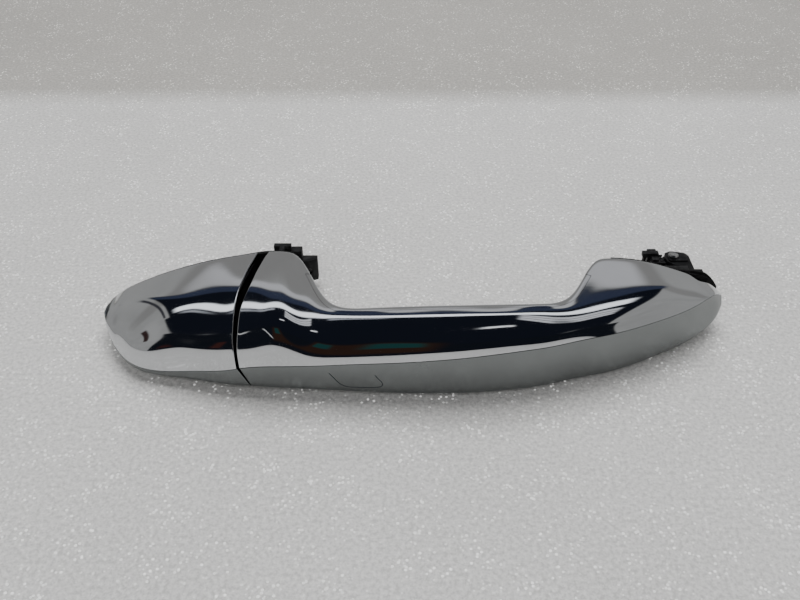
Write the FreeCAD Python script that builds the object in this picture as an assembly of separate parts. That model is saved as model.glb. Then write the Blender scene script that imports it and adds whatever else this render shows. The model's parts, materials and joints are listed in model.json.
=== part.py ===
import FreeCAD, Part
import os
import math

# Car door pull handle with its end cap, right-hand side of the car, as installed.
# +X runs along the handle from the cap (rear) to the hinge end (front), +Z is up,
# -Y points out of the door and +Y into the door. Y = 0 is the outside of the door skin.
# All lengths in millimetres.

V = FreeCAD.Vector
os.makedirs("parts", exist_ok=True)

# ---------------------------------------------------------------- driving dimensions
WALL = 2.2               # wall of the chromed shells
FIT = 0.3                # gap between a shell and what sits in it
RIM_Y = -1.8             # plane of the shells' rims, just off the gaskets
SEAT_T = 1.5             # thickness of the gaskets between shell and skin
AXIS_X, AXIS_Y = 181.0, 12.0      # vertical hinge axis behind the front foot
PIN_R = 1.5              # hinge pin radius
PIN_CLEAR = 0.05         # running clearance, radial
BUSH_R = 2.6             # outside of the bush
EYE_R = 4.6              # outside of the arm's eye
EYE_Z0, EYE_Z1 = -5.2, 1.5
EAR_Z = [(-7.3, -5.5), (1.8, 3.6)]
TILT = 0.12              # the slot between cap and handle leans by this much per unit of height
TILT_LOW = 0.34          # and by this much below the crease, on the handle
TILT_LOW_CAP = 0.42      # the same on the cap, so that the slot closes up towards the bottom
KINK_Z = -2.6            # height at which the lean changes
STEM_X0, STEM_X1 = 10.5, 15.0
STEM_Z0, STEM_Z1 = -9.0, 2.4
STEM_END = 21.3          # how far the pull stem reaches behind the skin
BAND_T = 2.8             # thickness of the finger-side cover


# ---------------------------------------------------------------- curve helpers
def pchip(pts):
    xs = [p[0] for p in pts]
    ys = [p[1] for p in pts]
    n = len(xs)
    h = [xs[i + 1] - xs[i] for i in range(n - 1)]
    d = [(ys[i + 1] - ys[i]) / h[i] for i in range(n - 1)]
    m = [0.0] * n
    for i in range(1, n - 1):
        if d[i - 1] * d[i] > 0:
            w1 = 2 * h[i] + h[i - 1]
            w2 = h[i] + 2 * h[i - 1]
            m[i] = (w1 + w2) / (w1 / d[i - 1] + w2 / d[i])
    m[0] = d[0]
    m[-1] = d[-1]

    def f(x):
        x = min(max(x, xs[0]), xs[-1])
        i = 0
        while i < n - 2 and x > xs[i + 1]:
            i += 1
        t = (x - xs[i]) / h[i]
        return (ys[i] * (1 + 2 * t) * (1 - t) ** 2 + m[i] * h[i] * t * (1 - t) ** 2
                + ys[i + 1] * t * t * (3 - 2 * t) + m[i + 1] * h[i] * t * t * (t - 1))
    return f


# ---------------------------------------------------------------- the outer form
# Each table gives one feature of the cross-section along X.
T = {}
# crease line between the upper face and the lower face
T["yc"] = [(-58.4, -12.62), (-58.1, -13.47), (-57.5, -15.17), (-56.6, -17.62), (-55.2, -21.01), (-53, -25.22), (-50, -29.75), (-46.5, -34.2), (-42, -38.44), (-36, -41.46), (-29, -42.94), (-22, -44.02), (-14, -45.97), (-6, -47.7), (0, -48.4), (5, -48.8), (10, -49.25), (14, -49.6), (17, -49.82), (19.5, -49.98), (21.5, -50.1), (23.5, -50.2), (25.5, -50.28), (28, -50.38), (30.5, -50.5), (33, -50.62), (36, -50.78), (39, -50.88), (42.5, -51.1), (47, -51.32), (54, -51.6), (64, -51.95), (76, -52), (88, -51.6), (98, -50.75), (107, -49.6), (114, -48.4), (119, -47.25), (123, -46.04), (127, -44.71), (130, -43.72), (133, -42.78), (136, -41.91), (139, -41.11), (142, -40.3), (145, -39.43), (149, -38.08), (154, -36.08), (160, -33.33), (166, -30.32), (171, -27.76), (176, -25.09), (181, -21.83), (185, -18.57), (188.5, -15.31), (191.5, -12.32), (194, -9.76), (195.8, -7.94), (197, -6.72), (197.8, -5.92), (198.2, -5.51)]
T["zc"] = [(-58.4, -5.64), (-58.1, -5.86), (-57.5, -6.28), (-56.6, -6.9), (-55.2, -7.81), (-53, -9.02), (-50, -10.03), (-46.5, -10.33), (-42, -10.25), (-36, -10.45), (-29, -10.29), (-22, -9.16), (-14, -7), (-6, -5.5), (0, -4.1), (5, -2.5), (10, -1.6), (14, -1.1), (17, -0.85), (19.5, -0.7), (21.5, -0.55), (23.5, -0.4), (25.5, -0.27), (28, -0.1), (30.5, 0.1), (33, 0.33), (36, 0.64), (39, 0.98), (42.5, 1.37), (47, 1.82), (54, 2.4), (64, 3.15), (76, 4.2), (88, 5.2), (98, 6.05), (107, 6.6), (114, 6.75), (119, 6.7), (123, 6.6), (127, 6.5), (130, 6.45), (133, 6.4), (136, 6.38), (139, 6.36), (142, 6.35), (145, 6.35), (149, 6.3), (154, 6.15), (160, 5.8), (166, 5.42), (171, 5.2), (176, 5.1), (181, 4.9), (185, 4.5), (188.5, 3.75), (191.5, 2.8), (194, 1.37), (195.8, -0.19), (197, -1.41), (197.8, -2.26), (198.2, -2.7)]
# lower face
T["ys"] = [(-58.4, -12.12), (-58.1, -13.1), (-57.5, -14.99), (-56.6, -17.58), (-55.2, -21.03), (-53, -25.23), (-50, -29.76), (-46.5, -34.21), (-42, -38.3), (-36, -41.2), (-29, -42.64), (-22, -43.73), (-14, -45.65), (-6, -47.34), (0, -48), (5, -48.36), (10, -48.77), (14, -49.1), (17, -49.3), (19.5, -49.45), (21.5, -49.56), (23.5, -49.65), (25.5, -49.72), (28, -49.81), (30.5, -49.92), (33, -50.04), (36, -50.19), (39, -50.28), (42.5, -50.5), (47, -50.71), (54, -50.97), (64, -51.35), (76, -51.55), (88, -51.25), (98, -50.43), (107, -49.34), (114, -48.22), (119, -47.14), (123, -45.99), (127, -44.74), (130, -43.81), (133, -42.93), (136, -42.11), (139, -41.35), (142, -40.57), (145, -39.73), (149, -38.42), (154, -36.48), (160, -33.82), (166, -30.94), (171, -28.56), (176, -26.2), (181, -23.52), (185, -20.97), (188.5, -18.65), (191.5, -16.43), (194, -14.31), (195.8, -12.18), (197, -10.26), (197.8, -8.85), (198.2, -8.11)]
T["zb"] = [(-58.4, -7.2), (-56, -9), (-52, -10.8), (-46, -12.2), (-40, -13), (-30, -13.6), (0, -14.1), (25, -14.4), (64, -15.2), (120, -15.6), (154, -15.8), (171, -15.2), (178, -14.6), (185, -13.4), (191, -11.6), (195, -9.3), (197.2, -7.4), (198.2, -6.2)]
# shoulder where the upper face turns flat
T["ysh"] = [(-58.4, -6.83), (-58.1, -7.13), (-57.5, -7.71), (-56.6, -8.56), (-55.2, -9.7), (-53, -11.04), (-50, -12.16), (-46.5, -12.97), (-42, -14.59), (-36, -18.73), (-29, -22.93), (-22, -24.87), (-14, -25.62), (-6, -25.93), (0, -26.31), (5, -26.84), (10, -27.66), (14, -28.41), (17, -28.82), (19.5, -29.15), (21.5, -29.53), (23.5, -30.1), (25.5, -30.84), (28, -31.89), (30.5, -32.95), (33, -33.94), (36, -34.97), (39, -35.83), (42.5, -36.59), (47, -37.24), (54, -37.7), (64, -37.83), (76, -37.78), (88, -38.06), (98, -38.38), (107, -37.89), (114, -36.61), (119, -35.41), (123, -34.46), (127, -33.56), (130, -32.81), (133, -31.93), (136, -30.84), (139, -29.56), (142, -28.21), (145, -26.88), (149, -25.28), (154, -23.51), (160, -21.39), (166, -19.03), (171, -16.93), (176, -14.75), (181, -12.48), (185, -10.66), (188.5, -9.18), (191.5, -8.02), (194, -7.11), (195.8, -6.46), (197, -6.03), (197.8, -5.74), (198.2, -5.6)]
T["zsh"] = [(-58.4, -5.96), (-58.1, -5.91), (-57.5, -5.77), (-56.6, -5.3), (-55.2, -4.6), (-53, -3.1), (-50, -1.81), (-46.5, 0.23), (-42, 2.62), (-36, 5.63), (-29, 8.4), (-22, 10.22), (-14, 11.67), (-6, 13.55), (0, 15.17), (5, 16.31), (10, 17.33), (14, 17.92), (17, 18), (19.5, 17.73), (21.5, 17.24), (23.5, 16.5), (25.5, 15.59), (28, 14.41), (30.5, 13.43), (33, 12.82), (36, 12.49), (39, 12.47), (42.5, 12.66), (47, 13.09), (54, 13.89), (64, 14.63), (76, 14.93), (88, 15.24), (98, 15.59), (107, 15.53), (114, 15.03), (119, 14.5), (123, 14.04), (127, 13.62), (130, 13.37), (133, 13.21), (136, 13.17), (139, 13.22), (142, 13.31), (145, 13.38), (149, 13.35), (154, 13.11), (160, 12.62), (166, 11.84), (171, 10.69), (176, 9.03), (181, 7.26), (185, 5.85), (188.5, 4.36), (191.5, 2.69), (194, 0.96), (195.8, -0.47), (197, -1.49), (197.8, -2.18), (198.2, -2.53)]
# top and bottom of the inner side, which is the rim at the feet
T["zr"] = [(-58.4, -6.49), (-58.1, -6.33), (-57.5, -6.02), (-56.6, -5.55), (-55.2, -4.85), (-53, -3.35), (-50, -1.5), (-46.5, 0.38), (-42, 2.53), (-36, 5.19), (-29, 7.87), (-22, 10.25), (-14, 12.55), (-6, 14.33), (0, 15.51), (5, 16.56), (10, 17.38), (14, 17.55), (17, 17.41), (19.5, 16.97), (21.5, 16.18), (23.5, 15.24), (25.5, 14.89), (28, 14.36), (30.5, 13.35), (33, 12.4), (36, 12.34), (39, 12.55), (42.5, 12.88), (47, 13.32), (54, 14.01), (64, 14.58), (76, 15), (88, 15.3), (98, 15.53), (107, 15.56), (114, 15.28), (119, 14.73), (123, 14.06), (127, 13.54), (130, 13.47), (133, 13.61), (136, 13.88), (139, 14.14), (142, 14.28), (145, 14.33), (149, 14.14), (154, 13.8), (160, 13.11), (166, 11.86), (171, 10.43), (176, 8.67), (181, 6.88), (185, 5.5), (188.5, 3.98), (191.5, 2.6), (194, 1.17), (195.8, -0.27), (197, -1.4), (197.8, -2.18), (198.2, -2.56)]
T["zrb"] = [(-58.4, -6.9), (-56, -8.2), (-40, -12.6), (-18, -15), (4, -16.6), (13, -17), (25, -16.4), (40, -15.2), (80, -15.2), (125, -15.6), (145, -16.6), (162, -15.8), (171, -14.6), (180, -12.6), (189, -9.8), (195, -7.6), (198.2, -6)]
# inner side in plan: the rims at the feet and the finger recess between them
T["yi"] = [(-58.4, -8.0), (-57.8, -5.5), (-56.8, -3.4), (-55, -2.1), (-52, RIM_Y), (20.8, RIM_Y), (22.6, -2.2), (24.6, -4.9), (28, -11.2), (31, -17), (34.8, -23.9), (38.4, -28.4), (42.4, -30.9), (48, -32), (58, -32.2), (80, -32.2), (100, -32.0), (114, -31.6), (121, -30.4), (126, -28), (130, -24.3), (134, -18.6), (137.5, -12.2), (141, -6.4), (144, -3), (147, -1.9), (149, RIM_Y), (176, RIM_Y), (181, -1.9), (185, -2.3), (190, -2.9), (195, -3.7), (198.2, -5.0)]
T["r"] = [(-58.4, .4), (-56, .7), (18, .7), (22, 1.2), (29, 3.0), (38, 5.0), (50, 5.4), (110, 5.4), (124, 5.0), (134, 3.6), (142, 1.6), (148, .8), (190, .7), (198.2, .4)]
# slope of the upper face just above the crease, degrees from vertical
T["ph"] = [(-58.4, 14), (-58.1, 14.1), (-57.5, 14.2), (-56.6, 14.3), (-55.2, 14.5), (-53, 14.7), (-50, 15.4), (-46.5, 16.9), (-42, 18.4), (-36, 17.9), (-29, 18), (-22, 19.2), (-14, 18.2), (-6, 15.6), (0, 13.9), (5, 13.3), (10, 13.3), (14, 13.7), (17, 13.9), (19.5, 14), (21.5, 14.2), (23.5, 14.3), (25.5, 14.5), (28, 14.5), (30.5, 14.2), (33, 13.5), (36, 12.4), (39, 11.4), (42.5, 10.6), (47, 10.2), (54, 10.5), (64, 10.2), (76, 9.1), (88, 8.8), (98, 10.2), (107, 12.3), (114, 14.3), (119, 15.8), (123, 16.9), (127, 18.1), (130, 19.1), (133, 20.3), (136, 21.8), (139, 23.6), (142, 25.6), (145, 27.6), (149, 30.3), (154, 33.5), (160, 37.5), (166, 42), (171, 45.8), (176, 49.5), (181, 52.4), (185, 54), (188.5, 54.9), (191.5, 55.4), (194, 55.7), (195.8, 55.9), (197, 56), (197.8, 56), (198.2, 56)]
# how full the section is: height and depth of the point below the shoulder, and how
# close the points on either side of the shoulder stand to it
T["fz"] = [(-58.4, 0.74), (-58.1, 0.74), (-57.5, 0.739), (-56.6, 0.737), (-55.2, 0.735), (-53, 0.731), (-50, 0.728), (-46.5, 0.729), (-42, 0.739), (-36, 0.76), (-29, 0.754), (-22, 0.72), (-14, 0.703), (-6, 0.736), (0, 0.758), (5, 0.75), (10, 0.776), (14, 0.823), (17, 0.837), (19.5, 0.83), (21.5, 0.818), (23.5, 0.804), (25.5, 0.788), (28, 0.767), (30.5, 0.745), (33, 0.723), (36, 0.697), (39, 0.675), (42.5, 0.658), (47, 0.647), (54, 0.646), (64, 0.644), (76, 0.633), (88, 0.621), (98, 0.62), (107, 0.62), (114, 0.62), (119, 0.629), (123, 0.648), (127, 0.674), (130, 0.694), (133, 0.712), (136, 0.723), (139, 0.729), (142, 0.73), (145, 0.728), (149, 0.724), (154, 0.718), (160, 0.712), (166, 0.713), (171, 0.726), (176, 0.749), (181, 0.766), (185, 0.769), (188.5, 0.77), (191.5, 0.773), (194, 0.776), (195.8, 0.778), (197, 0.779), (197.8, 0.78), (198.2, 0.78)]
T["fy"] = [(-58.4, 0.294), (-58.1, 0.292), (-57.5, 0.288), (-56.6, 0.283), (-55.2, 0.279), (-53, 0.278), (-50, 0.262), (-46.5, 0.21), (-42, 0.16), (-36, 0.16), (-29, 0.187), (-22, 0.183), (-14, 0.16), (-6, 0.16), (0, 0.161), (5, 0.187), (10, 0.198), (14, 0.191), (17, 0.185), (19.5, 0.183), (21.5, 0.185), (23.5, 0.19), (25.5, 0.196), (28, 0.205), (30.5, 0.213), (33, 0.216), (36, 0.218), (39, 0.219), (42.5, 0.223), (47, 0.233), (54, 0.244), (64, 0.227), (76, 0.174), (88, 0.16), (98, 0.169), (107, 0.188), (114, 0.192), (119, 0.192), (123, 0.195), (127, 0.201), (130, 0.209), (133, 0.219), (136, 0.231), (139, 0.244), (142, 0.258), (145, 0.272), (149, 0.288), (154, 0.305), (160, 0.318), (166, 0.321), (171, 0.318), (176, 0.311), (181, 0.307), (185, 0.306), (188.5, 0.306), (191.5, 0.304), (194, 0.302), (195.8, 0.301), (197, 0.301), (197.8, 0.3), (198.2, 0.3)]
T["fs"] = [(-58.4, 0.137), (-58.1, 0.138), (-57.5, 0.139), (-56.6, 0.14), (-55.2, 0.141), (-53, 0.14), (-50, 0.142), (-46.5, 0.152), (-42, 0.147), (-36, 0.102), (-29, 0.107), (-22, 0.154), (-14, 0.121), (-6, 0.085), (0, 0.086), (5, 0.097), (10, 0.121), (14, 0.14), (17, 0.14), (19.5, 0.134), (21.5, 0.131), (23.5, 0.133), (25.5, 0.141), (28, 0.151), (30.5, 0.156), (33, 0.152), (36, 0.141), (39, 0.129), (42.5, 0.124), (47, 0.133), (54, 0.163), (64, 0.187), (76, 0.178), (88, 0.15), (98, 0.135), (107, 0.15), (114, 0.186), (119, 0.206), (123, 0.204), (127, 0.182), (130, 0.161), (133, 0.143), (136, 0.134), (139, 0.133), (142, 0.138), (145, 0.143), (149, 0.148), (154, 0.146), (160, 0.141), (166, 0.139), (171, 0.141), (176, 0.146), (181, 0.15), (185, 0.15), (188.5, 0.15), (191.5, 0.15), (194, 0.15), (195.8, 0.15), (197, 0.15), (197.8, 0.15), (198.2, 0.15)]
T["fr"] = [(-58.4, 0.301), (-58.1, 0.301), (-57.5, 0.302), (-56.6, 0.303), (-55.2, 0.303), (-53, 0.304), (-50, 0.303), (-46.5, 0.303), (-42, 0.305), (-36, 0.309), (-29, 0.298), (-22, 0.282), (-14, 0.293), (-6, 0.328), (0, 0.343), (5, 0.338), (10, 0.351), (14, 0.376), (17, 0.38), (19.5, 0.375), (21.5, 0.37), (23.5, 0.368), (25.5, 0.369), (28, 0.373), (30.5, 0.376), (33, 0.375), (36, 0.372), (39, 0.367), (42.5, 0.362), (47, 0.355), (54, 0.349), (64, 0.349), (76, 0.345), (88, 0.311), (98, 0.268), (107, 0.262), (114, 0.298), (119, 0.329), (123, 0.343), (127, 0.343), (130, 0.339), (133, 0.336), (136, 0.338), (139, 0.343), (142, 0.35), (145, 0.354), (149, 0.35), (154, 0.334), (160, 0.312), (166, 0.302), (171, 0.308), (176, 0.325), (181, 0.336), (185, 0.332), (188.5, 0.329), (191.5, 0.33), (194, 0.331), (195.8, 0.331), (197, 0.331), (197.8, 0.33), (198.2, 0.33)]
T["kb"] = [(-58.4, .8), (-56, 1.6), (-46, 3.2), (-30, 4.6), (0, 5.2), (150, 5.4), (180, 4.4), (191, 2.8), (196, 1.4), (198.2, .6)]
F = {k: pchip(v) for k, v in T.items()}

X_ALL = [-58.4, -58.1, -57.5, -56.6, -55.2, -53, -50, -46.5, -42, -36, -29, -22, -14, -6, 0, 5, 10, 14, 17, 19.5, 21.5, 23.5, 25.5, 28, 30.5, 33, 36, 39, 42.5, 47, 54, 64, 76, 88, 98, 107, 114, 119, 123, 127, 130, 133, 136, 139, 142, 145, 149, 154, 160, 166, 171, 176, 181, 185, 188.5, 191.5, 194, 195.8, 197, 197.8, 198.2]


def section(x, w=0.0, yi=None):
    """Control points of the cross-section at x, set in by w. yi replaces the inner side."""
    g = {k: F[k](x) for k in F}
    yc, zc = g["yc"] + w, g["zc"]
    ys, zb = g["ys"] + w, g["zb"] + w
    ysh, zsh = g["ysh"] + 0.5 * w, g["zsh"] - 0.9 * w
    zr, zrb = g["zr"] - w, g["zrb"] + w
    y1 = g["yi"] if yi is None else yi
    kb = max(0.5, g["kb"] - 0.6 * w)
    if w:
        zc = max(min(zc - 0.3 * w, zsh - 1.0), zb + 1.4)
    zsh = max(zsh, zc + 0.15)
    ysh = min(ysh, y1 - 0.2 * (y1 - yc))
    kb = min(kb, 0.8 * (zc - zb))
    h, wd = zsh - zc, ysh - yc
    t = math.tan(math.radians(g["ph"]))
    rr = min(g["r"], (y1 - ysh) * .45, (zr - zrb) * .3)
    zm, hz = (zr + zrb) / 2, (zr - zrb) / 2
    rb = min(g["r"], (y1 - ys) * .3, hz * .4)
    ybm = ys + (y1 - ys) * .45
    return [(x, a, b) for a, b in [
        (yc, zc),
        (yc + min(0.34 * h * t, .3 * wd), zc + 0.34 * h),
        (yc + g["fy"] * wd, zc + g["fz"] * h),
        (ysh - g["fs"] * wd, zsh - .02 * h),
        (ysh + (y1 - ysh) * g["fr"], zsh + (zr - zsh) * g["fr"]),
        (y1 - rr, zr),
        (y1, zr),
        (y1, zr - rr),
        (y1, zm + .35 * hz),
        (y1, zm - .35 * hz),
        (y1, zrb + rb),
        (y1, zrb),
        (y1 - rb, zrb),
        (ybm, zb + (zrb - zb) * .5),
        (ys + kb, zb),
        (ys, zb),
        (ys, zb + kb * .9),
        (yc + (ys - yc) * .55 - .15, zc + (zb + kb - zc) * .45),
        (yc, zc)]]


def knots(n):
    spans = n - 3
    return [i / spans for i in range(spans + 1)], [4] + [1] * (spans - 1) + [4]


def loft(rows):
    """Closed solid from rows of control points, one row for each x."""
    nu, nv = len(rows), len(rows[0])
    uk, um = knots(nu)
    vk, vm = knots(nv)
    surf = Part.BSplineSurface()
    surf.buildFromPolesMultsKnots([[V(*p) for p in row] for row in rows], um, vm, uk, vk, False, False, 3, 3)
    half = vk[len(vk) // 2]
    faces = []
    ends = [[], []]
    for a, b in ((0.0, half), (half, 1.0)):
        s = surf.copy()
        s.segment(0.0, 1.0, a, b)
        faces.append(s.toShape())
        u0, u1, v0, v1 = s.bounds()
        ends[0].append(s.uIso(u0).toShape())
        ends[1].append(s.uIso(u1).toShape())
    for e in ends:
        faces.append(Part.Face(Part.Wire(Part.__sortEdges__(e))))
    shell = Part.Shell(faces)
    shell.sewShape()
    solid = Part.Solid(shell)
    if solid.Volume < 0:
        solid.reverse()
    solid = solid.removeSplitter() if not solid.isValid() else solid
    return solid


def curve(pts):
    c = Part.BSplineCurve()
    c.interpolate([V(*p) for p in pts])
    return c.toShape()


def lines(pts, close=False):
    pts = [V(*p) for p in pts]
    if close:
        pts = pts + [pts[0]]
    return [Part.LineSegment(pts[i], pts[i + 1]).toShape() for i in range(len(pts) - 1)]


def prism_z(edges, z0, z1, tilt=0.0):
    """Plan outline (edges drawn at Z=0) carried from z0 to z1, leaning by tilt."""
    f = Part.Face(Part.Wire(Part.__sortEdges__(edges)))
    f.translate(V(-tilt * z0, 0, z0))
    return f.extrude(V(-tilt * (z1 - z0), 0, z1 - z0))


def prism_kink(edges, z0, z1, low_tilt=TILT_LOW):
    """Plan outline carried from z0 to z1 along the lean of the slot."""
    f = Part.Face(Part.Wire(Part.__sortEdges__(edges)))
    f.translate(V(-TILT * KINK_Z, 0, KINK_Z))
    up = f.extrude(V(-TILT * (z1 - KINK_Z), 0, z1 - KINK_Z))
    low = f.extrude(V(-low_tilt * (z0 - KINK_Z), 0, z0 - KINK_Z))
    return one(up.fuse(low).removeSplitter())


def poly_z(pts, z0, z1, tilt=0.0):
    return prism_z(lines([(x, y, 0) for x, y in pts], True), z0, z1, tilt)


def poly_y(pts, y0, y1):
    """Outline in the door plane (x, z) carried from y0 to y1."""
    f = Part.Face(Part.Wire(lines([(x, y0, z) for x, z in pts], True)))
    return f.extrude(V(0, y1 - y0, 0))


def box(x0, x1, y0, y1, z0, z1):
    return Part.makeBox(x1 - x0, y1 - y0, z1 - z0, V(x0, y0, z0))


def cyl(r, p, d, h):
    return Part.makeCylinder(r, h, V(*p), V(*d))


def one(shape):
    s = shape.Solids
    if len(s) == 1:
        return s[0]
    return max(s, key=lambda q: q.Volume)


NODES = {}


def put(name, shape, keep_all=False):
    sol = shape.Solids
    if not sol:
        raise RuntimeError(name + " is empty")
    out = Part.makeCompound(sol) if keep_all else one(shape)
    NODES[name] = out
    out.exportStep("parts/%s.step" % name)
    bb = out.optimalBoundingBox(False, False)
    print("%-20s n=%d vol=%9.1f valid=%s x %.1f..%.1f y %.1f..%.1f z %.1f..%.1f" % (
        name, len(sol), out.Volume, out.isValid(), bb.XMin, bb.XMax, bb.YMin, bb.YMax, bb.ZMin, bb.ZMax), flush=True)


# ---------------------------------------------------------------- slot between cap and handle
# base lines in plan at Z = 0, as (y, x); the slot widens towards the door
HANDLE_EDGE = [(-58, 2.0), (-54, 2.3), (-50, 2.7), (-47.4, 3.1), (-44.8, 3.95), (-42, 4.5), (-38.5, 4.8), (-34.6, 5.1), (-31.9, 5.55), (-29.3, 6.15), (-26, 7.0), (-20.2, 8.3), (-14.9, 9.35), (-10.1, 10.5), (-6.4, 11.5), (-2.8, 12.7), (-1.8, 13.05), (4, 15.2)]
CAP_EDGE = [(-58, 0.9), (-54, 1.1), (-50, 1.4), (-47.5, 1.85), (-45.9, 2.15), (-43.8, 2.45), (-40.6, 2.7), (-37.2, 2.8), (-33.4, 2.92), (-29.1, 3.1), (-25.1, 3.4), (-19, 4.3), (-12, 5.5), (-8.7, 6.3), (-5, 7.3), (-1.8, 8.1), (4, 9.4)]
HE = pchip(HANDLE_EDGE)
CE = pchip(CAP_EDGE)


def right_of(tab, far=260.0, dx=0.0):
    pts = [(x + dx, y, 0) for y, x in tab]
    return prism_kink([curve(pts)] + lines([pts[-1], (far, tab[-1][0], 0), (far, tab[0][0], 0), pts[0]]), -40, 40)


def left_of(tab, far=-120.0, dx=0.0):
    pts = [(x + dx, y, 0) for y, x in tab]
    return prism_kink([curve(pts)] + lines([pts[-1], (far, tab[-1][0], 0), (far, tab[0][0], 0), pts[0]]), -40, 40, TILT_LOW_CAP)


# ---------------------------------------------------------------- envelope and cavities
envelope = loft([section(x) for x in X_ALL])
print("envelope", envelope.isValid(), round(envelope.Volume, 1), flush=True)

# inner side of the handle's cavity: open at the feet, closed along the grip
CAV_YI = pchip([(-10, 3), (17.4, 3), (18.6, 0.5), (19.9, -2.2), (21.6, -5.6), (25.2, -12.2), (28.2, -18), (31.8, -25), (35.6, -30.2), (40, -33), (46, -34), (58, -34.3), (100, -34.1), (113, -33.7), (121, -32.4), (127, -30), (132, -25.4), (136, -19.6), (139.6, -13), (143, -7.4), (146, -4.2), (148, -1.0), (149.6, 3), (200, 3)])
X_CAV = [-8, -3, 2, 7, 12, 15.5, 17.5, 19, 20.5, 22.5, 25, 27.5, 30, 33, 36, 39, 42.5, 47, 54, 64, 76, 88, 98, 107, 114, 119, 123, 127, 130, 133, 136, 139, 142, 144.5, 146.5, 148, 149.5, 152, 156, 161, 166, 171, 176, 180.5, 184.5, 188, 190.5]


def handle_cavity(w):
    return loft([section(x, w, CAV_YI(x)) for x in X_CAV])


def cap_cavity(w):
    return loft([section(x, w, 3.0) for x in [-50.5, -49.5, -47.5, -44.5, -40, -34, -27, -20, -12, -4, 2, 8, 14]])


cav = handle_cavity(WALL)
cav_fit = handle_cavity(WALL + FIT)
capcav = cap_cavity(WALL)
capcav_fit = cap_cavity(WALL + FIT)
print("cavities", cav.isValid(), cav_fit.isValid(), capcav.isValid(), capcav_fit.isValid(), flush=True)

# finger-side cover in plan: a strip that follows the recess between the feet
BAND = [(26.6, -13.4), (29.6, -20), (33.4, -27.2), (38, -32.2), (43, -34.2), (50, -34.85), (60, -35), (80, -35), (100, -34.8), (113, -34.4), (120.6, -33.2), (127, -30.6), (131.8, -26.8), (136, -20.6), (139.8, -13.6)]


def band(grow):
    pts = []
    n = len(BAND)
    for i, (x, y) in enumerate(BAND):
        a = BAND[max(0, i - 1)]
        b = BAND[min(n - 1, i + 1)]
        tx, ty = b[0] - a[0], b[1] - a[1]
        L = math.hypot(tx, ty)
        pts.append((x + ty / L * grow, y - tx / L * grow, 0))
    if grow:
        a, b = V(*pts[0]), V(*pts[1])
        pts[0] = tuple(a + (a - b).normalize() * 0.3)
        a, b = V(*pts[-1]), V(*pts[-2])
        pts[-1] = tuple(a + (a - b).normalize() * 0.3)
    a, b = pts[0], pts[-1]
    return prism_z([curve(pts)] + lines([b, (b[0] - 8.5, b[1] + 3.5, 0), (110, -20, 0), (60, -20, 0), (a[0] + 8.5, a[1] + 3.0, 0), a]), -40, 40)


band_in = band(0.0)
band_out = band(0.12)

# ---------------------------------------------------------------- grip body
outer = envelope.common(right_of(HANDLE_EDGE)).cut(cav).cut(band_out)
put("outer_cover", outer)
posts = [(52.0, 0.0), (112.0, 0.0)]
inner = envelope.common(band_in)
for px, pz in posts:
    inner = inner.fuse(cyl(1.5, (px, -33.6, pz), (0, -1, 0), 6.2))
put("inner_cover", inner)

# moulded core that joins the two feet behind the finger-side cover
CORE_IN = [(22.6, -14), (26.6, -21.4), (31.4, -29.6), (36.6, -34.2), (43, -36), (50, -36.5), (60, -36.6), (80, -36.6), (100, -36.4), (113, -36), (121.6, -34.8), (129, -31.8), (134.2, -27.4), (138.6, -20.6), (142.4, -13.6)]
CORE_OUT = [(17.6, -14), (18.5, -20), (20.6, -27), (25.2, -34.6), (33, -39.4), (43, -41), (50, -41.4), (60, -41.5), (80, -41.5), (100, -41.2), (113, -40.6), (123, -38.8), (132, -35.4), (139, -29.6), (144, -21.6), (148.4, -13.6)]
core = prism_z([curve([(x, y, 0) for x, y in CORE_IN]), curve([(x, y, 0) for x, y in CORE_OUT])]
               + lines([(CORE_IN[0][0], CORE_IN[0][1], 0), (CORE_OUT[0][0], CORE_OUT[0][1], 0)])
               + lines([(CORE_IN[-1][0], CORE_IN[-1][1], 0), (CORE_OUT[-1][0], CORE_OUT[-1][1], 0)]), -8, 8)
core = core.common(cav_fit)
for px, pz in posts:
    core = core.cut(cyl(1.6, (px, -33, pz), (0, -1, 0), 8))
# lightening pockets from the outer side
for a in (64, 76, 88):
    core = core.cut(box(a, a + 9, -43, -38.6, 1.2, 6.2)).cut(box(a, a + 9, -43, -38.6, -6.2, -1.2))
REAR_SCREW = (19.1, 5.4)
core = core.cut(cyl(1.2, (REAR_SCREW[0], -2, REAR_SCREW[1]), (0, -1, 0), 20))
put("handle_core", core)

# black block that closes the handle's rear end and carries the pull stem
bl = [(4.0, -44), (4.4, -40.3), (4.9, -34.5), (5.6, -29), (6.3, -24), (6.8, -19.4), (7.8, -11.4), (9.0, -2.5)]
block = prism_kink([curve([(x, y, 0) for x, y in bl])]
                + lines([(9.0, -2.5, 0), (18.9, -2.5, 0), (21.0, -6.6, 0), (22.6, -11.6, 0), (22.2, -13.6, 0), (16.2, -13.6, 0),
                         (16.4, -20, 0), (16.0, -26.8, 0), (13, -32, 0), (11, -38, 0), (9, -44, 0), (4.0, -44, 0)]), -12.6, 11.6)
block = block.common(cav_fit)
block = block.cut(box(STEM_X0, STEM_X1, -26, 0, STEM_Z0, STEM_Z1))
block = block.cut(cyl(1.3, (REAR_SCREW[0], 0, REAR_SCREW[1]), (0, -1, 0), 20))
block = block.cut(cyl(1.8, (REAR_SCREW[0], 0, REAR_SCREW[1]), (0, -1, 0), 5))
STEM_PIN = (-14.0, -3.3)
stem_pin = cyl(1.5, (8.6, STEM_PIN[0], STEM_PIN[1]), (1, 0, 0), 5.9)
stem_pin2 = cyl(1.5, (7.6, STEM_PIN[0], STEM_PIN[1]), (1, 0, 0), 7.2)
block = block.cut(stem_pin2)
BUMPERS = [(12.6, -11.55, .95), (11.0, 8.4, 1.4)]
for x, z, r in BUMPERS:
    block = block.cut(cyl(r, (x, -2, z), (0, -1, 0), 2.4))
put("rear_foot_block", block)
put("handle_core", core.cut(block))
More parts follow.
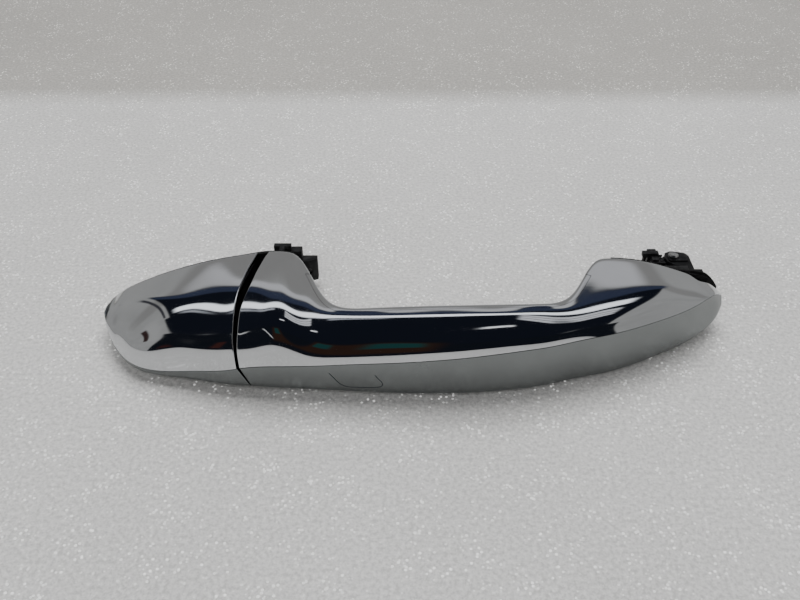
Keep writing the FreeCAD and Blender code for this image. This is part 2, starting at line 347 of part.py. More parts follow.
put("rear_bumpers", Part.makeCompound([cyl(r, (x, -4.4, z), (0, 1, 0), 2.6) for x, z, r in BUMPERS]), True)

# pull stem: a blade whose T-shaped end draws the latch lever
stem = box(STEM_X0, STEM_X1, -26, STEM_END - 2.3, STEM_Z0, STEM_Z1)
stem = stem.fuse(box(9.1, 16.6, STEM_END - 2.3, STEM_END, -9.0, 4.6))
stem = stem.fuse(box(11.7, 13.8, 6, STEM_END - 1, STEM_Z1, 4.6))
stem = stem.cut(stem_pin2)
stem = stem.cut(cyl(1.6, (0, 9.0, -4.4), (1, 0, 0), 30))
put("pull_stem", stem)
put("stem_pin", stem_pin2)
hook = box(16.6, 21.3, 17.2, STEM_END, -2.4, 3.0).fuse(box(16.6, 27.6, 16.6, STEM_END, -13.2, -1.9))
hook = hook.fuse(box(STEM_X1, 16.6, 16.6, STEM_END - 2.3, -9.0, 1.6))
hook = hook.cut(poly_z([(22.5, 16), (28, 16), (28, 18.6)], -20, 10))
hook = hook.cut(cyl(1.7, (23.6, 10, -7.6), (0, 1, 0), 20))
put("stem_hook", hook)

# hinge arm in the front foot, with its eye on the hinge axis
arm = box(156.2, 182, -15, -4.8, -8.4, 6.2).common(cav_fit)
neck = poly_z([(165.2, -6), (179.4, -6), (179.4, -1.5), (184.0, 8.6), (181, 12), (176.6, 12.6), (175.5, 7.0), (170.4, 4.6), (166.4, 0)], EYE_Z0, EYE_Z1)
arm = arm.fuse(neck).fuse(cyl(EYE_R, (AXIS_X, AXIS_Y, EYE_Z0), (0, 0, 1), EYE_Z1 - EYE_Z0))
arm = arm.cut(cyl(BUSH_R, (AXIS_X, AXIS_Y, -20), (0, 0, 1), 40))
FRONT_SCREWS = [(160.0, 2.9), (160.0, -5.2)]
for x, z in FRONT_SCREWS:
    arm = arm.cut(cyl(1.2, (x, 0, z), (0, -1, 0), 13))
put("hinge_arm", arm)
bush = cyl(BUSH_R, (AXIS_X, AXIS_Y, EYE_Z0), (0, 0, 1), EYE_Z1 - EYE_Z0).cut(
    cyl(PIN_R + PIN_CLEAR, (AXIS_X, AXIS_Y, -20), (0, 0, 1), 40))
put("pin_bush", bush)

plate = box(150.5, 187, -4.6, -2.7, -13.4, 10.6).common(cav_fit)
plate = plate.cut(box(163.2, 181.0, -10, 0, -5.6, 4.6))
for x, z in FRONT_SCREWS:
    plate = plate.cut(cyl(1.3, (x, 0, z), (0, -1, 0), 13))
put("front_foot_plate", plate)


def screw(x, y, z, head_r, head_h, r, length):
    """Pan-head screw that points to -Y; y is the seat of its head."""
    s = cyl(head_r, (x, y, z), (0, 1, 0), head_h).fuse(cyl(r, (x, y, z), (0, -1, 0), length))
    s = s.cut(box(x - head_r * .6, x + head_r * .6, y + head_h * .4, y + head_h + 1, z - .25, z + .25))
    s = s.cut(box(x - .25, x + .25, y + head_h * .4, y + head_h + 1, z - head_r * .6, z + head_r * .6))
    return s


put("foot_screws", Part.makeCompound([one(screw(x, -2.7, z, 2.3, .8, 1.2, 9.5)) for x, z in FRONT_SCREWS]
                                     + [one(screw(REAR_SCREW[0], -5.0, REAR_SCREW[1], 1.7, 1.0, 1.2, 12.5))]), True)

# electronics inside the grip
put("antenna_core", box(58, 110, -45.4, -42.4, -3.6, 3.6))
put("antenna_coil", box(66, 102, -46.2, -41.6, -4.4, 4.4).cut(box(60, 108, -45.4, -42.4, -3.6, 3.6)))
chips = [box(28, 33, -45.6, -44.4, -6, -1), box(36, 39, -45.6, -44.8, -8, -5), box(42, 48, -45.6, -44.6, -7.4, -2.6), box(50, 53, -45.6, -43.6, -9.4, -6.2)]
put("board_parts", Part.makeCompound(chips), True)
put("lock_electrode", box(35, 55.5, -47.9, -47.5, -10.6, -2.4))
put("unlock_electrode", box(60, 99, -35.95, -35.5, -6, 6))

# connector beside the hinge, with a two-pronged latch
conn = box(170.9, 174.6, 7.4, 17.2, -6.2, 4.5)
conn = conn.cut(box(171.7, 173.8, 10.2, 18, -5.2, 3.5))
conn = conn.fuse(box(167.6, 174.3, 11, 13.4, 4.5, 6.5))
conn = conn.fuse(box(168.1, 169.2, 11, 12.8, .9, 4.5)).fuse(box(169.9, 170.9, 11, 12.8, .9, 4.5))
conn = conn.fuse(box(171.2, 173.9, 8.2, 11, 4.5, 5.3))
for z in (-3.3, -0.85, 1.6):
    conn = conn.cut(box(172.3, 173.2, 6, 10.6, z - .35, z + .35))
put("connector_pins", Part.makeCompound([box(172.3, 173.2, 7.4, 15.6, z - .35, z + .35) for z in (-3.3, -0.85, 1.6)]), True)
seal = box(171.7, 173.8, 10.4, 11.8, -5.2, 3.5)
for z in (-3.3, -0.85, 1.6):
    seal = seal.cut(box(172.3, 173.2, 10, 12, z - .35, z + .35))
put("connector_seal", seal)
brk = box(174.6, 177.3, 8.6, 14.6, -4.4, 3.4).cut(cyl(EYE_R, (AXIS_X, AXIS_Y, -20), (0, 0, 1), 40))
for a in (9.6, 11.3, 13.0):
    brk = brk.cut(box(174.6, 178, a, a + .6, 2.8, 4))
brk = brk.cut(neck)
put("connector_bracket", brk)


def tube(route, r):
    """Tube along straight runs joined by tangent arcs."""
    P = [V(*p) for p in route]
    edges = []
    cur = P[0]
    for i in range(1, len(P) - 1):
        a, b = P[i - 1] - P[i], P[i + 1] - P[i]
        la, lb = a.Length, b.Length
        a.normalize()
        b.normalize()
        turn = math.pi - a.getAngle(b)
        tl = .45 * min(la, lb)
        R = tl / math.tan(turn / 2)
        q0, q1 = P[i] + a * tl, P[i] + b * tl
        bis = a + b
        bis.normalize()
        c = P[i] + bis * math.hypot(R, tl)
        mid = c - bis * R
        edges.append(Part.LineSegment(cur, q0).toShape())
        edges.append(Part.Arc(q0, mid, q1).toShape())
        print("lead arc radius %.1f" % R)
        cur = q1
    edges.append(Part.LineSegment(cur, P[-1]).toShape())
    w = Part.Wire(edges)
    d = P[1] - P[0]
    prof = Part.Wire([Part.Circle(P[0], d, r).toShape()])
    s = w.makePipeShell([prof], True, False)
    print("lead length %.1f, volume %.1f against %.1f" % (w.Length, s.Volume, w.Length * math.pi * r * r))
    return s


LEAD = [(55.0, -46.2, -8.6), (66, -44.6, -9.4), (90, -43.4, -9.6), (112, -42.0, -9.2), (130, -37.6, -8.6), (145, -31.0, -7.6), (155, -23.0, -3.6), (161, -13.0, 1.4), (166.0, -4.6, 3.0), (169.6, 1.6, 3.1), (172.6, 7.4, 3.0)]
lead = tube(LEAD, 0.7)
put("sensor_lead", lead)
put("connector_housing", conn.cut(lead))
put("sensor_board", box(24, 55, -46.6, -45.6, -10.4, 1.4).cut(lead))
# the arm gives the lead a groove
arm2 = arm.cut(tube(LEAD, 1.0))
put("hinge_arm", arm2)

# ---------------------------------------------------------------- door-side body
cap = envelope.common(left_of(CAP_EDGE)).cut(capcav)
put("cap_shell", cap)
# black base of the cap: a wall that faces the slot and a floor on the gasket
edge = [(y, x) for y, x in CAP_EDGE]
wall = right_of([(y, x) for y, x in edge], dx=-3.2).common(left_of(edge, dx=-0.8))
base = wall.fuse(box(-52, 4, -4.0, -SEAT_T, -18, 18).common(left_of(edge, dx=-0.8))).common(capcav_fit)
BOSS = (-15.0, -4.0, -12.6, -4.0)
base = base.cut(box(BOSS[0], BOSS[1], -60, 5, BOSS[2], BOSS[3]))
base = base.cut(box(-60, 40, -SEAT_T, 10, -40, 40)).cut(box(9.9, 40, -60, 10, -40, 40))
put("cap_base", base)
boss = box(BOSS[0], BOSS[1], -24, 12.0, BOSS[2], BOSS[3]).common(capcav_fit.fuse(box(-20, 0, -2, 20, -20, 20)))
boss = boss.cut(cyl(2.1, (-30, 7.0, -8.5), (1, 0, 0), 40))
boss = boss.cut(box(-12.6, -6.4, -30, -4, -11, -6))
put("cap_boss", boss)
put("cap_clips", Part.makeCompound([one(box(a, a + 4, -9.0, -4.0, z0, z0 + 1.4).fuse(poly_y([(a, z0 + (1.4 if z0 > 0 else 0)), (a + 4, z0 + (1.4 if z0 > 0 else 0)), (a + 4, z0 + (2.0 if z0 > 0 else -.6)), (a, z0 + (2.0 if z0 > 0 else -.6))], -9.0, -7.6)))
                                    for a, z0 in ((-12, 4.6), (-30, -.6), (-34, -8.2))]), True)


def seat_outline(x0, x1, dtop, dbot, n=22):
    """Outline that follows the rims, moved outwards by dtop(x) and dbot(x)."""
    top, bot = [], []
    for i in range(n + 1):
        x = x0 + (x1 - x0) * i / n
        top.append((x, F["zr"](x) + dtop(x)))
        bot.append((x, F["zrb"](x) - dbot(x)))
    return top, bot


def seat(top, bot, y0, y1):
    e = [curve([(x, y0, z) for x, z in top]), curve([(x, y0, z) for x, z in bot])]
    e += lines([(top[0][0], y0, top[0][1]), (bot[0][0], y0, bot[0][1])])
    e += lines([(top[-1][0], y0, top[-1][1]), (bot[-1][0], y0, bot[-1][1])])
    return Part.Face(Part.Wire(Part.__sortEdges__(e))).extrude(V(0, y1 - y0, 0))


top, bot = seat_outline(-53, 20.6, lambda x: -1.1, lambda x: -1.1)
rg = seat(top, bot, -SEAT_T, 0)
rg = rg.cut(box(BOSS[0], BOSS[1], -5, 5, BOSS[2], BOSS[3]))
rg = rg.cut(box(8.4, 17.4, -5, 5, -10.6, 5.6))
put("rear_gasket", rg)

g_top = pchip([(149, -1.1), (176, -1.0), (183, 0.2), (187, 1.5), (190.6, 2.2), (193.4, 1.6), (196.0, .6), (197.4, 0)])
top, bot = seat_outline(150.5, 197.4, g_top, lambda x: -0.8, 30)
fg = seat(top, bot, -0.7, 0).cut(box(159.4, 184.4, -5, 5, -8.2, 6.2))
B_SCREWS = [(155.4, 0.6), (188.2, -2.6)]
for x, z in B_SCREWS:
    fg = fg.cut(cyl(1.3, (x, -5, z), (0, 1, 0), 20))
put("front_gasket", fg)
b_top = pchip([(149, -1.3), (176, -1.2), (183, -.6), (187, .4), (190.6, 1.0), (193.4, .8), (195.4, .2), (196.4, -.2)])
top, bot = seat_outline(151.5, 196.4, b_top, lambda x: -1.4, 30)
fb = seat(top, bot, -SEAT_T, -0.7).cut(box(161.4, 182.6, -5, 5, -6.2, 5.2))
for x, z in B_SCREWS:
    fb = fb.cut(cyl(1.3, (x, -5, z), (0, 1, 0), 20))
put("front_base", fb)

# fixed half of the hinge: a collar through the skin, two ears on the axis and a fixing tab
TAB_Y = 2.2               # the skin and its seal go between the gasket and the bracket
col = box(159.4, 184.4, -0.7, 3.2, -8.2, 6.2).cut(box(161.4, 182.6, -5, 5, -6.2, 5.2))
col = col.fuse(box(146.4, 160.0, TAB_Y, TAB_Y + 2.0, -5.6, 5.6))
web = box(186.4, 188.2, TAB_Y, 13.4, EAR_Z[0][0], EAR_Z[1][1])
col = col.fuse(web).fuse(box(183.6, 191.4, TAB_Y, TAB_Y + 2.0, -7.3, 3.6))
for z0, z1 in EAR_Z:
    ear = poly_z([(182.8, 2.2), (188.2, 2.2), (188.2, 13.4), (186.6, 15.8), (181, 16.8), (178.4, 15.6), (177.8, 12.6), (178.2, 9.6), (180.4, 7.4), (182.8, 6.4)], z0, z1)
    col = col.fuse(ear)
# raised rib round the pin on the top ear
col = col.fuse(poly_z([(179.2, 9.2), (186.6, 9.2), (187.4, 10.2), (187.4, 13.4), (186.4, 14.6), (179.4, 14.6), (178.8, 13.6), (178.8, 10.2)], 3.6, 4.3))
col = col.cut(cyl(PIN_R, (AXIS_X, AXIS_Y, -20), (0, 0, 1), 40))
TAB_HOLE = (151.4, 0.0)
col = col.cut(cyl(2.1, (TAB_HOLE[0], -5, TAB_HOLE[1]), (0, 1, 0), 20))
for x, z in B_SCREWS:
    col = col.cut(cyl(1.1, (x, -5, z), (0, 1, 0), 20))
put("front_bearing", col)
pin = cyl(PIN_R, (AXIS_X, AXIS_Y, -8.6), (0, 0, 1), 14.2)
pin = pin.fuse(cyl(2.1, (AXIS_X, AXIS_Y, 4.3), (0, 0, 1), 1.2))
pin = pin.cut(cyl(3, (AXIS_X, AXIS_Y, -8.1), (0, 0, 1), .5).cut(cyl(1.1, (AXIS_X, AXIS_Y, -9), (0, 0, 1), 2)))
pin = pin.cut(Part.makeCone(PIN_R + .4, PIN_R + 1.2, .8, V(AXIS_X, AXIS_Y, 5.05)).cut(Part.makeCone(PIN_R + .35, PIN_R - .45, .8, V(AXIS_X, AXIS_Y, 5.05))))
put("hinge_pin", pin)
clip = cyl(2.9, (AXIS_X, AXIS_Y, -8.1), (0, 0, 1), .5).cut(cyl(1.12, (AXIS_X, AXIS_Y, -9), (0, 0, 1), 2)).cut(box(AXIS_X - .9, AXIS_X + .9, AXIS_Y, AXIS_Y + 5, -9, -7))
put("pin_clip", clip)
put("bearing_screws", Part.makeCompound([cyl(1.1, (x, -0.7, z), (0, 1, 0), TAB_Y + 2.7).fuse(cyl(1.3, (x, -SEAT_T, z), (0, 1, 0), .8)) for x, z in B_SCREWS]), True)
print("nodes", len(NODES))
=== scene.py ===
import bpy
import bmesh
import json
import math
import numpy as np
from mathutils import Vector, Matrix
from mathutils.bvhtree import BVHTree


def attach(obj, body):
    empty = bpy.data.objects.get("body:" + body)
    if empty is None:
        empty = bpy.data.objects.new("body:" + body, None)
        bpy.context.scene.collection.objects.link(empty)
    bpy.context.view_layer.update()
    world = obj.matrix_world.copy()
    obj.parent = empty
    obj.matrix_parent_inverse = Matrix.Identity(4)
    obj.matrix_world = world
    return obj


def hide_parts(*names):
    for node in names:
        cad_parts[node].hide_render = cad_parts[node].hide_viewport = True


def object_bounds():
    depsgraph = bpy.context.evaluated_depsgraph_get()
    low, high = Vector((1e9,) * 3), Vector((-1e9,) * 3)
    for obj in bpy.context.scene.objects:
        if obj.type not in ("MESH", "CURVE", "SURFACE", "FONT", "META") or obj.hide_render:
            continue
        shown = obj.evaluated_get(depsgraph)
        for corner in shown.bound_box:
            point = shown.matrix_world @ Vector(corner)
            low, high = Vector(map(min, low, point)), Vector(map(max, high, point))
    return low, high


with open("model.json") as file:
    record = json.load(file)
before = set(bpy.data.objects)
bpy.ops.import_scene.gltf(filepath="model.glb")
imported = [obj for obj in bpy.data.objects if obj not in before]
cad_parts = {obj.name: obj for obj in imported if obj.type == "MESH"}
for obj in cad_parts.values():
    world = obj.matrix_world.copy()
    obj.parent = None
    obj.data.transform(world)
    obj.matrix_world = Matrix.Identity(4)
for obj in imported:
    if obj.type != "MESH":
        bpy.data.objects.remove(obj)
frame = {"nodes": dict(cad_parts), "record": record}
cad_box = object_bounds()
MM = 0.001
scene = bpy.context.scene

# ---------------------------------------------------------------- camera
TARGET = Vector((64.0, -19.0, 6.0)) * MM
ELEV = math.radians(40.0)
DIST = 330.0 * MM
back = Vector((0.0, -math.cos(ELEV), math.sin(ELEV)))
cam_data = bpy.data.cameras.new("camera")
cam_data.sensor_width = 36.0
cam_data.lens = 2.51 * 330.0 / 800.0 * 36.0
cam_data.clip_start = 0.005
cam_data.clip_end = 20.0
cam = bpy.data.objects.new("camera", cam_data)
scene.collection.objects.link(cam)
cam.location = TARGET + back * DIST
cam.rotation_euler = (-back).to_track_quat("-Z", "Y").to_euler()
scene.camera = cam

# ---------------------------------------------------------------- dimensions shared with the CAD model
WALL = 2.2
FIT = 0.3
RIM_Y = -1.8
TILT = 0.12
TILT_LOW = 0.34
TILT_LOW_CAP = 0.42
KINK_Z = -2.6

def pchip(pts):
    xs = [p[0] for p in pts]
    ys = [p[1] for p in pts]
    n = len(xs)
    h = [xs[i + 1] - xs[i] for i in range(n - 1)]
    d = [(ys[i + 1] - ys[i]) / h[i] for i in range(n - 1)]
    m = [0.0] * n
    for i in range(1, n - 1):
        if d[i - 1] * d[i] > 0:
            w1 = 2 * h[i] + h[i - 1]
            w2 = h[i] + 2 * h[i - 1]
            m[i] = (w1 + w2) / (w1 / d[i - 1] + w2 / d[i])
    m[0] = d[0]
    m[-1] = d[-1]

    def f(x):
        x = min(max(x, xs[0]), xs[-1])
        i = 0
        while i < n - 2 and x > xs[i + 1]:
            i += 1
        t = (x - xs[i]) / h[i]
        return (ys[i] * (1 + 2 * t) * (1 - t) ** 2 + m[i] * h[i] * t * (1 - t) ** 2
                + ys[i + 1] * t * t * (3 - 2 * t) + m[i + 1] * h[i] * t * t * (t - 1))
    return f



T = {}
# crease line between the upper face and the lower face
T["yc"] = [(-58.4, -12.62), (-58.1, -13.47), (-57.5, -15.17), (-56.6, -17.62), (-55.2, -21.01), (-53, -25.22), (-50, -29.75), (-46.5, -34.2), (-42, -38.44), (-36, -41.46), (-29, -42.94), (-22, -44.02), (-14, -45.97), (-6, -47.7), (0, -48.4), (5, -48.8), (10, -49.25), (14, -49.6), (17, -49.82), (19.5, -49.98), (21.5, -50.1), (23.5, -50.2), (25.5, -50.28), (28, -50.38), (30.5, -50.5), (33, -50.62), (36, -50.78), (39, -50.88), (42.5, -51.1), (47, -51.32), (54, -51.6), (64, -51.95), (76, -52), (88, -51.6), (98, -50.75), (107, -49.6), (114, -48.4), (119, -47.25), (123, -46.04), (127, -44.71), (130, -43.72), (133, -42.78), (136, -41.91), (139, -41.11), (142, -40.3), (145, -39.43), (149, -38.08), (154, -36.08), (160, -33.33), (166, -30.32), (171, -27.76), (176, -25.09), (181, -21.83), (185, -18.57), (188.5, -15.31), (191.5, -12.32), (194, -9.76), (195.8, -7.94), (197, -6.72), (197.8, -5.92), (198.2, -5.51)]
T["zc"] = [(-58.4, -5.64), (-58.1, -5.86), (-57.5, -6.28), (-56.6, -6.9), (-55.2, -7.81), (-53, -9.02), (-50, -10.03), (-46.5, -10.33), (-42, -10.25), (-36, -10.45), (-29, -10.29), (-22, -9.16), (-14, -7), (-6, -5.5), (0, -4.1), (5, -2.5), (10, -1.6), (14, -1.1), (17, -0.85), (19.5, -0.7), (21.5, -0.55), (23.5, -0.4), (25.5, -0.27), (28, -0.1), (30.5, 0.1), (33, 0.33), (36, 0.64), (39, 0.98), (42.5, 1.37), (47, 1.82), (54, 2.4), (64, 3.15), (76, 4.2), (88, 5.2), (98, 6.05), (107, 6.6), (114, 6.75), (119, 6.7), (123, 6.6), (127, 6.5), (130, 6.45), (133, 6.4), (136, 6.38), (139, 6.36), (142, 6.35), (145, 6.35), (149, 6.3), (154, 6.15), (160, 5.8), (166, 5.42), (171, 5.2), (176, 5.1), (181, 4.9), (185, 4.5), (188.5, 3.75), (191.5, 2.8), (194, 1.37), (195.8, -0.19), (197, -1.41), (197.8, -2.26), (198.2, -2.7)]
# lower face
T["ys"] = [(-58.4, -12.12), (-58.1, -13.1), (-57.5, -14.99), (-56.6, -17.58), (-55.2, -21.03), (-53, -25.23), (-50, -29.76), (-46.5, -34.21), (-42, -38.3), (-36, -41.2), (-29, -42.64), (-22, -43.73), (-14, -45.65), (-6, -47.34), (0, -48), (5, -48.36), (10, -48.77), (14, -49.1), (17, -49.3), (19.5, -49.45), (21.5, -49.56), (23.5, -49.65), (25.5, -49.72), (28, -49.81), (30.5, -49.92), (33, -50.04), (36, -50.19), (39, -50.28), (42.5, -50.5), (47, -50.71), (54, -50.97), (64, -51.35), (76, -51.55), (88, -51.25), (98, -50.43), (107, -49.34), (114, -48.22), (119, -47.14), (123, -45.99), (127, -44.74), (130, -43.81), (133, -42.93), (136, -42.11), (139, -41.35), (142, -40.57), (145, -39.73), (149, -38.42), (154, -36.48), (160, -33.82), (166, -30.94), (171, -28.56), (176, -26.2), (181, -23.52), (185, -20.97), (188.5, -18.65), (191.5, -16.43), (194, -14.31), (195.8, -12.18), (197, -10.26), (197.8, -8.85), (198.2, -8.11)]
T["zb"] = [(-58.4, -7.2), (-56, -9), (-52, -10.8), (-46, -12.2), (-40, -13), (-30, -13.6), (0, -14.1), (25, -14.4), (64, -15.2), (120, -15.6), (154, -15.8), (171, -15.2), (178, -14.6), (185, -13.4), (191, -11.6), (195, -9.3), (197.2, -7.4), (198.2, -6.2)]
# shoulder where the upper face turns flat
T["ysh"] = [(-58.4, -6.83), (-58.1, -7.13), (-57.5, -7.71), (-56.6, -8.56), (-55.2, -9.7), (-53, -11.04), (-50, -12.16), (-46.5, -12.97), (-42, -14.59), (-36, -18.73), (-29, -22.93), (-22, -24.87), (-14, -25.62), (-6, -25.93), (0, -26.31), (5, -26.84), (10, -27.66), (14, -28.41), (17, -28.82), (19.5, -29.15), (21.5, -29.53), (23.5, -30.1), (25.5, -30.84), (28, -31.89), (30.5, -32.95), (33, -33.94), (36, -34.97), (39, -35.83), (42.5, -36.59), (47, -37.24), (54, -37.7), (64, -37.83), (76, -37.78), (88, -38.06), (98, -38.38), (107, -37.89), (114, -36.61), (119, -35.41), (123, -34.46), (127, -33.56), (130, -32.81), (133, -31.93), (136, -30.84), (139, -29.56), (142, -28.21), (145, -26.88), (149, -25.28), (154, -23.51), (160, -21.39), (166, -19.03), (171, -16.93), (176, -14.75), (181, -12.48), (185, -10.66), (188.5, -9.18), (191.5, -8.02), (194, -7.11), (195.8, -6.46), (197, -6.03), (197.8, -5.74), (198.2, -5.6)]
T["zsh"] = [(-58.4, -5.96), (-58.1, -5.91), (-57.5, -5.77), (-56.6, -5.3), (-55.2, -4.6), (-53, -3.1), (-50, -1.81), (-46.5, 0.23), (-42, 2.62), (-36, 5.63), (-29, 8.4), (-22, 10.22), (-14, 11.67), (-6, 13.55), (0, 15.17), (5, 16.31), (10, 17.33), (14, 17.92), (17, 18), (19.5, 17.73), (21.5, 17.24), (23.5, 16.5), (25.5, 15.59), (28, 14.41), (30.5, 13.43), (33, 12.82), (36, 12.49), (39, 12.47), (42.5, 12.66), (47, 13.09), (54, 13.89), (64, 14.63), (76, 14.93), (88, 15.24), (98, 15.59), (107, 15.53), (114, 15.03), (119, 14.5), (123, 14.04), (127, 13.62), (130, 13.37), (133, 13.21), (136, 13.17), (139, 13.22), (142, 13.31), (145, 13.38), (149, 13.35), (154, 13.11), (160, 12.62), (166, 11.84), (171, 10.69), (176, 9.03), (181, 7.26), (185, 5.85), (188.5, 4.36), (191.5, 2.69), (194, 0.96), (195.8, -0.47), (197, -1.49), (197.8, -2.18), (198.2, -2.53)]
# top and bottom of the inner side, which is the rim at the feet
T["zr"] = [(-58.4, -6.49), (-58.1, -6.33), (-57.5, -6.02), (-56.6, -5.55), (-55.2, -4.85), (-53, -3.35), (-50, -1.5), (-46.5, 0.38), (-42, 2.53), (-36, 5.19), (-29, 7.87), (-22, 10.25), (-14, 12.55), (-6, 14.33), (0, 15.51), (5, 16.56), (10, 17.38), (14, 17.55), (17, 17.41), (19.5, 16.97), (21.5, 16.18), (23.5, 15.24), (25.5, 14.89), (28, 14.36), (30.5, 13.35), (33, 12.4), (36, 12.34), (39, 12.55), (42.5, 12.88), (47, 13.32), (54, 14.01), (64, 14.58), (76, 15), (88, 15.3), (98, 15.53), (107, 15.56), (114, 15.28), (119, 14.73), (123, 14.06), (127, 13.54), (130, 13.47), (133, 13.61), (136, 13.88), (139, 14.14), (142, 14.28), (145, 14.33), (149, 14.14), (154, 13.8), (160, 13.11), (166, 11.86), (171, 10.43), (176, 8.67), (181, 6.88), (185, 5.5), (188.5, 3.98), (191.5, 2.6), (194, 1.17), (195.8, -0.27), (197, -1.4), (197.8, -2.18), (198.2, -2.56)]
T["zrb"] = [(-58.4, -6.9), (-56, -8.2), (-40, -12.6), (-18, -15), (4, -16.6), (13, -17), (25, -16.4), (40, -15.2), (80, -15.2), (125, -15.6), (145, -16.6), (162, -15.8), (171, -14.6), (180, -12.6), (189, -9.8), (195, -7.6), (198.2, -6)]
# inner side in plan: the rims at the feet and the finger recess between them
T["yi"] = [(-58.4, -8.0), (-57.8, -5.5), (-56.8, -3.4), (-55, -2.1), (-52, RIM_Y), (20.8, RIM_Y), (22.6, -2.2), (24.6, -4.9), (28, -11.2), (31, -17), (34.8, -23.9), (38.4, -28.4), (42.4, -30.9), (48, -32), (58, -32.2), (80, -32.2), (100, -32.0), (114, -31.6), (121, -30.4), (126, -28), (130, -24.3), (134, -18.6), (137.5, -12.2), (141, -6.4), (144, -3), (147, -1.9), (149, RIM_Y), (176, RIM_Y), (181, -1.9), (185, -2.3), (190, -2.9), (195, -3.7), (198.2, -5.0)]
T["r"] = [(-58.4, .4), (-56, .7), (18, .7), (22, 1.2), (29, 3.0), (38, 5.0), (50, 5.4), (110, 5.4), (124, 5.0), (134, 3.6), (142, 1.6), (148, .8), (190, .7), (198.2, .4)]
# slope of the upper face just above the crease, degrees from vertical
T["ph"] = [(-58.4, 14), (-58.1, 14.1), (-57.5, 14.2), (-56.6, 14.3), (-55.2, 14.5), (-53, 14.7), (-50, 15.4), (-46.5, 16.9), (-42, 18.4), (-36, 17.9), (-29, 18), (-22, 19.2), (-14, 18.2), (-6, 15.6), (0, 13.9), (5, 13.3), (10, 13.3), (14, 13.7), (17, 13.9), (19.5, 14), (21.5, 14.2), (23.5, 14.3), (25.5, 14.5), (28, 14.5), (30.5, 14.2), (33, 13.5), (36, 12.4), (39, 11.4), (42.5, 10.6), (47, 10.2), (54, 10.5), (64, 10.2), (76, 9.1), (88, 8.8), (98, 10.2), (107, 12.3), (114, 14.3), (119, 15.8), (123, 16.9), (127, 18.1), (130, 19.1), (133, 20.3), (136, 21.8), (139, 23.6), (142, 25.6), (145, 27.6), (149, 30.3), (154, 33.5), (160, 37.5), (166, 42), (171, 45.8), (176, 49.5), (181, 52.4), (185, 54), (188.5, 54.9), (191.5, 55.4), (194, 55.7), (195.8, 55.9), (197, 56), (197.8, 56), (198.2, 56)]
# how full the section is: height and depth of the point below the shoulder, and how
# close the points on either side of the shoulder stand to it
T["fz"] = [(-58.4, 0.74), (-58.1, 0.74), (-57.5, 0.739), (-56.6, 0.737), (-55.2, 0.735), (-53, 0.731), (-50, 0.728), (-46.5, 0.729), (-42, 0.739), (-36, 0.76), (-29, 0.754), (-22, 0.72), (-14, 0.703), (-6, 0.736), (0, 0.758), (5, 0.75), (10, 0.776), (14, 0.823), (17, 0.837), (19.5, 0.83), (21.5, 0.818), (23.5, 0.804), (25.5, 0.788), (28, 0.767), (30.5, 0.745), (33, 0.723), (36, 0.697), (39, 0.675), (42.5, 0.658), (47, 0.647), (54, 0.646), (64, 0.644), (76, 0.633), (88, 0.621), (98, 0.62), (107, 0.62), (114, 0.62), (119, 0.629), (123, 0.648), (127, 0.674), (130, 0.694), (133, 0.712), (136, 0.723), (139, 0.729), (142, 0.73), (145, 0.728), (149, 0.724), (154, 0.718), (160, 0.712), (166, 0.713), (171, 0.726), (176, 0.749), (181, 0.766), (185, 0.769), (188.5, 0.77), (191.5, 0.773), (194, 0.776), (195.8, 0.778), (197, 0.779), (197.8, 0.78), (198.2, 0.78)]
T["fy"] = [(-58.4, 0.294), (-58.1, 0.292), (-57.5, 0.288), (-56.6, 0.283), (-55.2, 0.279), (-53, 0.278), (-50, 0.262), (-46.5, 0.21), (-42, 0.16), (-36, 0.16), (-29, 0.187), (-22, 0.183), (-14, 0.16), (-6, 0.16), (0, 0.161), (5, 0.187), (10, 0.198), (14, 0.191), (17, 0.185), (19.5, 0.183), (21.5, 0.185), (23.5, 0.19), (25.5, 0.196), (28, 0.205), (30.5, 0.213), (33, 0.216), (36, 0.218), (39, 0.219), (42.5, 0.223), (47, 0.233), (54, 0.244), (64, 0.227), (76, 0.174), (88, 0.16), (98, 0.169), (107, 0.188), (114, 0.192), (119, 0.192), (123, 0.195), (127, 0.201), (130, 0.209), (133, 0.219), (136, 0.231), (139, 0.244), (142, 0.258), (145, 0.272), (149, 0.288), (154, 0.305), (160, 0.318), (166, 0.321), (171, 0.318), (176, 0.311), (181, 0.307), (185, 0.306), (188.5, 0.306), (191.5, 0.304), (194, 0.302), (195.8, 0.301), (197, 0.301), (197.8, 0.3), (198.2, 0.3)]
T["fs"] = [(-58.4, 0.137), (-58.1, 0.138), (-57.5, 0.139), (-56.6, 0.14), (-55.2, 0.141), (-53, 0.14), (-50, 0.142), (-46.5, 0.152), (-42, 0.147), (-36, 0.102), (-29, 0.107), (-22, 0.154), (-14, 0.121), (-6, 0.085), (0, 0.086), (5, 0.097), (10, 0.121), (14, 0.14), (17, 0.14), (19.5, 0.134), (21.5, 0.131), (23.5, 0.133), (25.5, 0.141), (28, 0.151), (30.5, 0.156), (33, 0.152), (36, 0.141), (39, 0.129), (42.5, 0.124), (47, 0.133), (54, 0.163), (64, 0.187), (76, 0.178), (88, 0.15), (98, 0.135), (107, 0.15), (114, 0.186), (119, 0.206), (123, 0.204), (127, 0.182), (130, 0.161), (133, 0.143), (136, 0.134), (139, 0.133), (142, 0.138), (145, 0.143), (149, 0.148), (154, 0.146), (160, 0.141), (166, 0.139), (171, 0.141), (176, 0.146), (181, 0.15), (185, 0.15), (188.5, 0.15), (191.5, 0.15), (194, 0.15), (195.8, 0.15), (197, 0.15), (197.8, 0.15), (198.2, 0.15)]
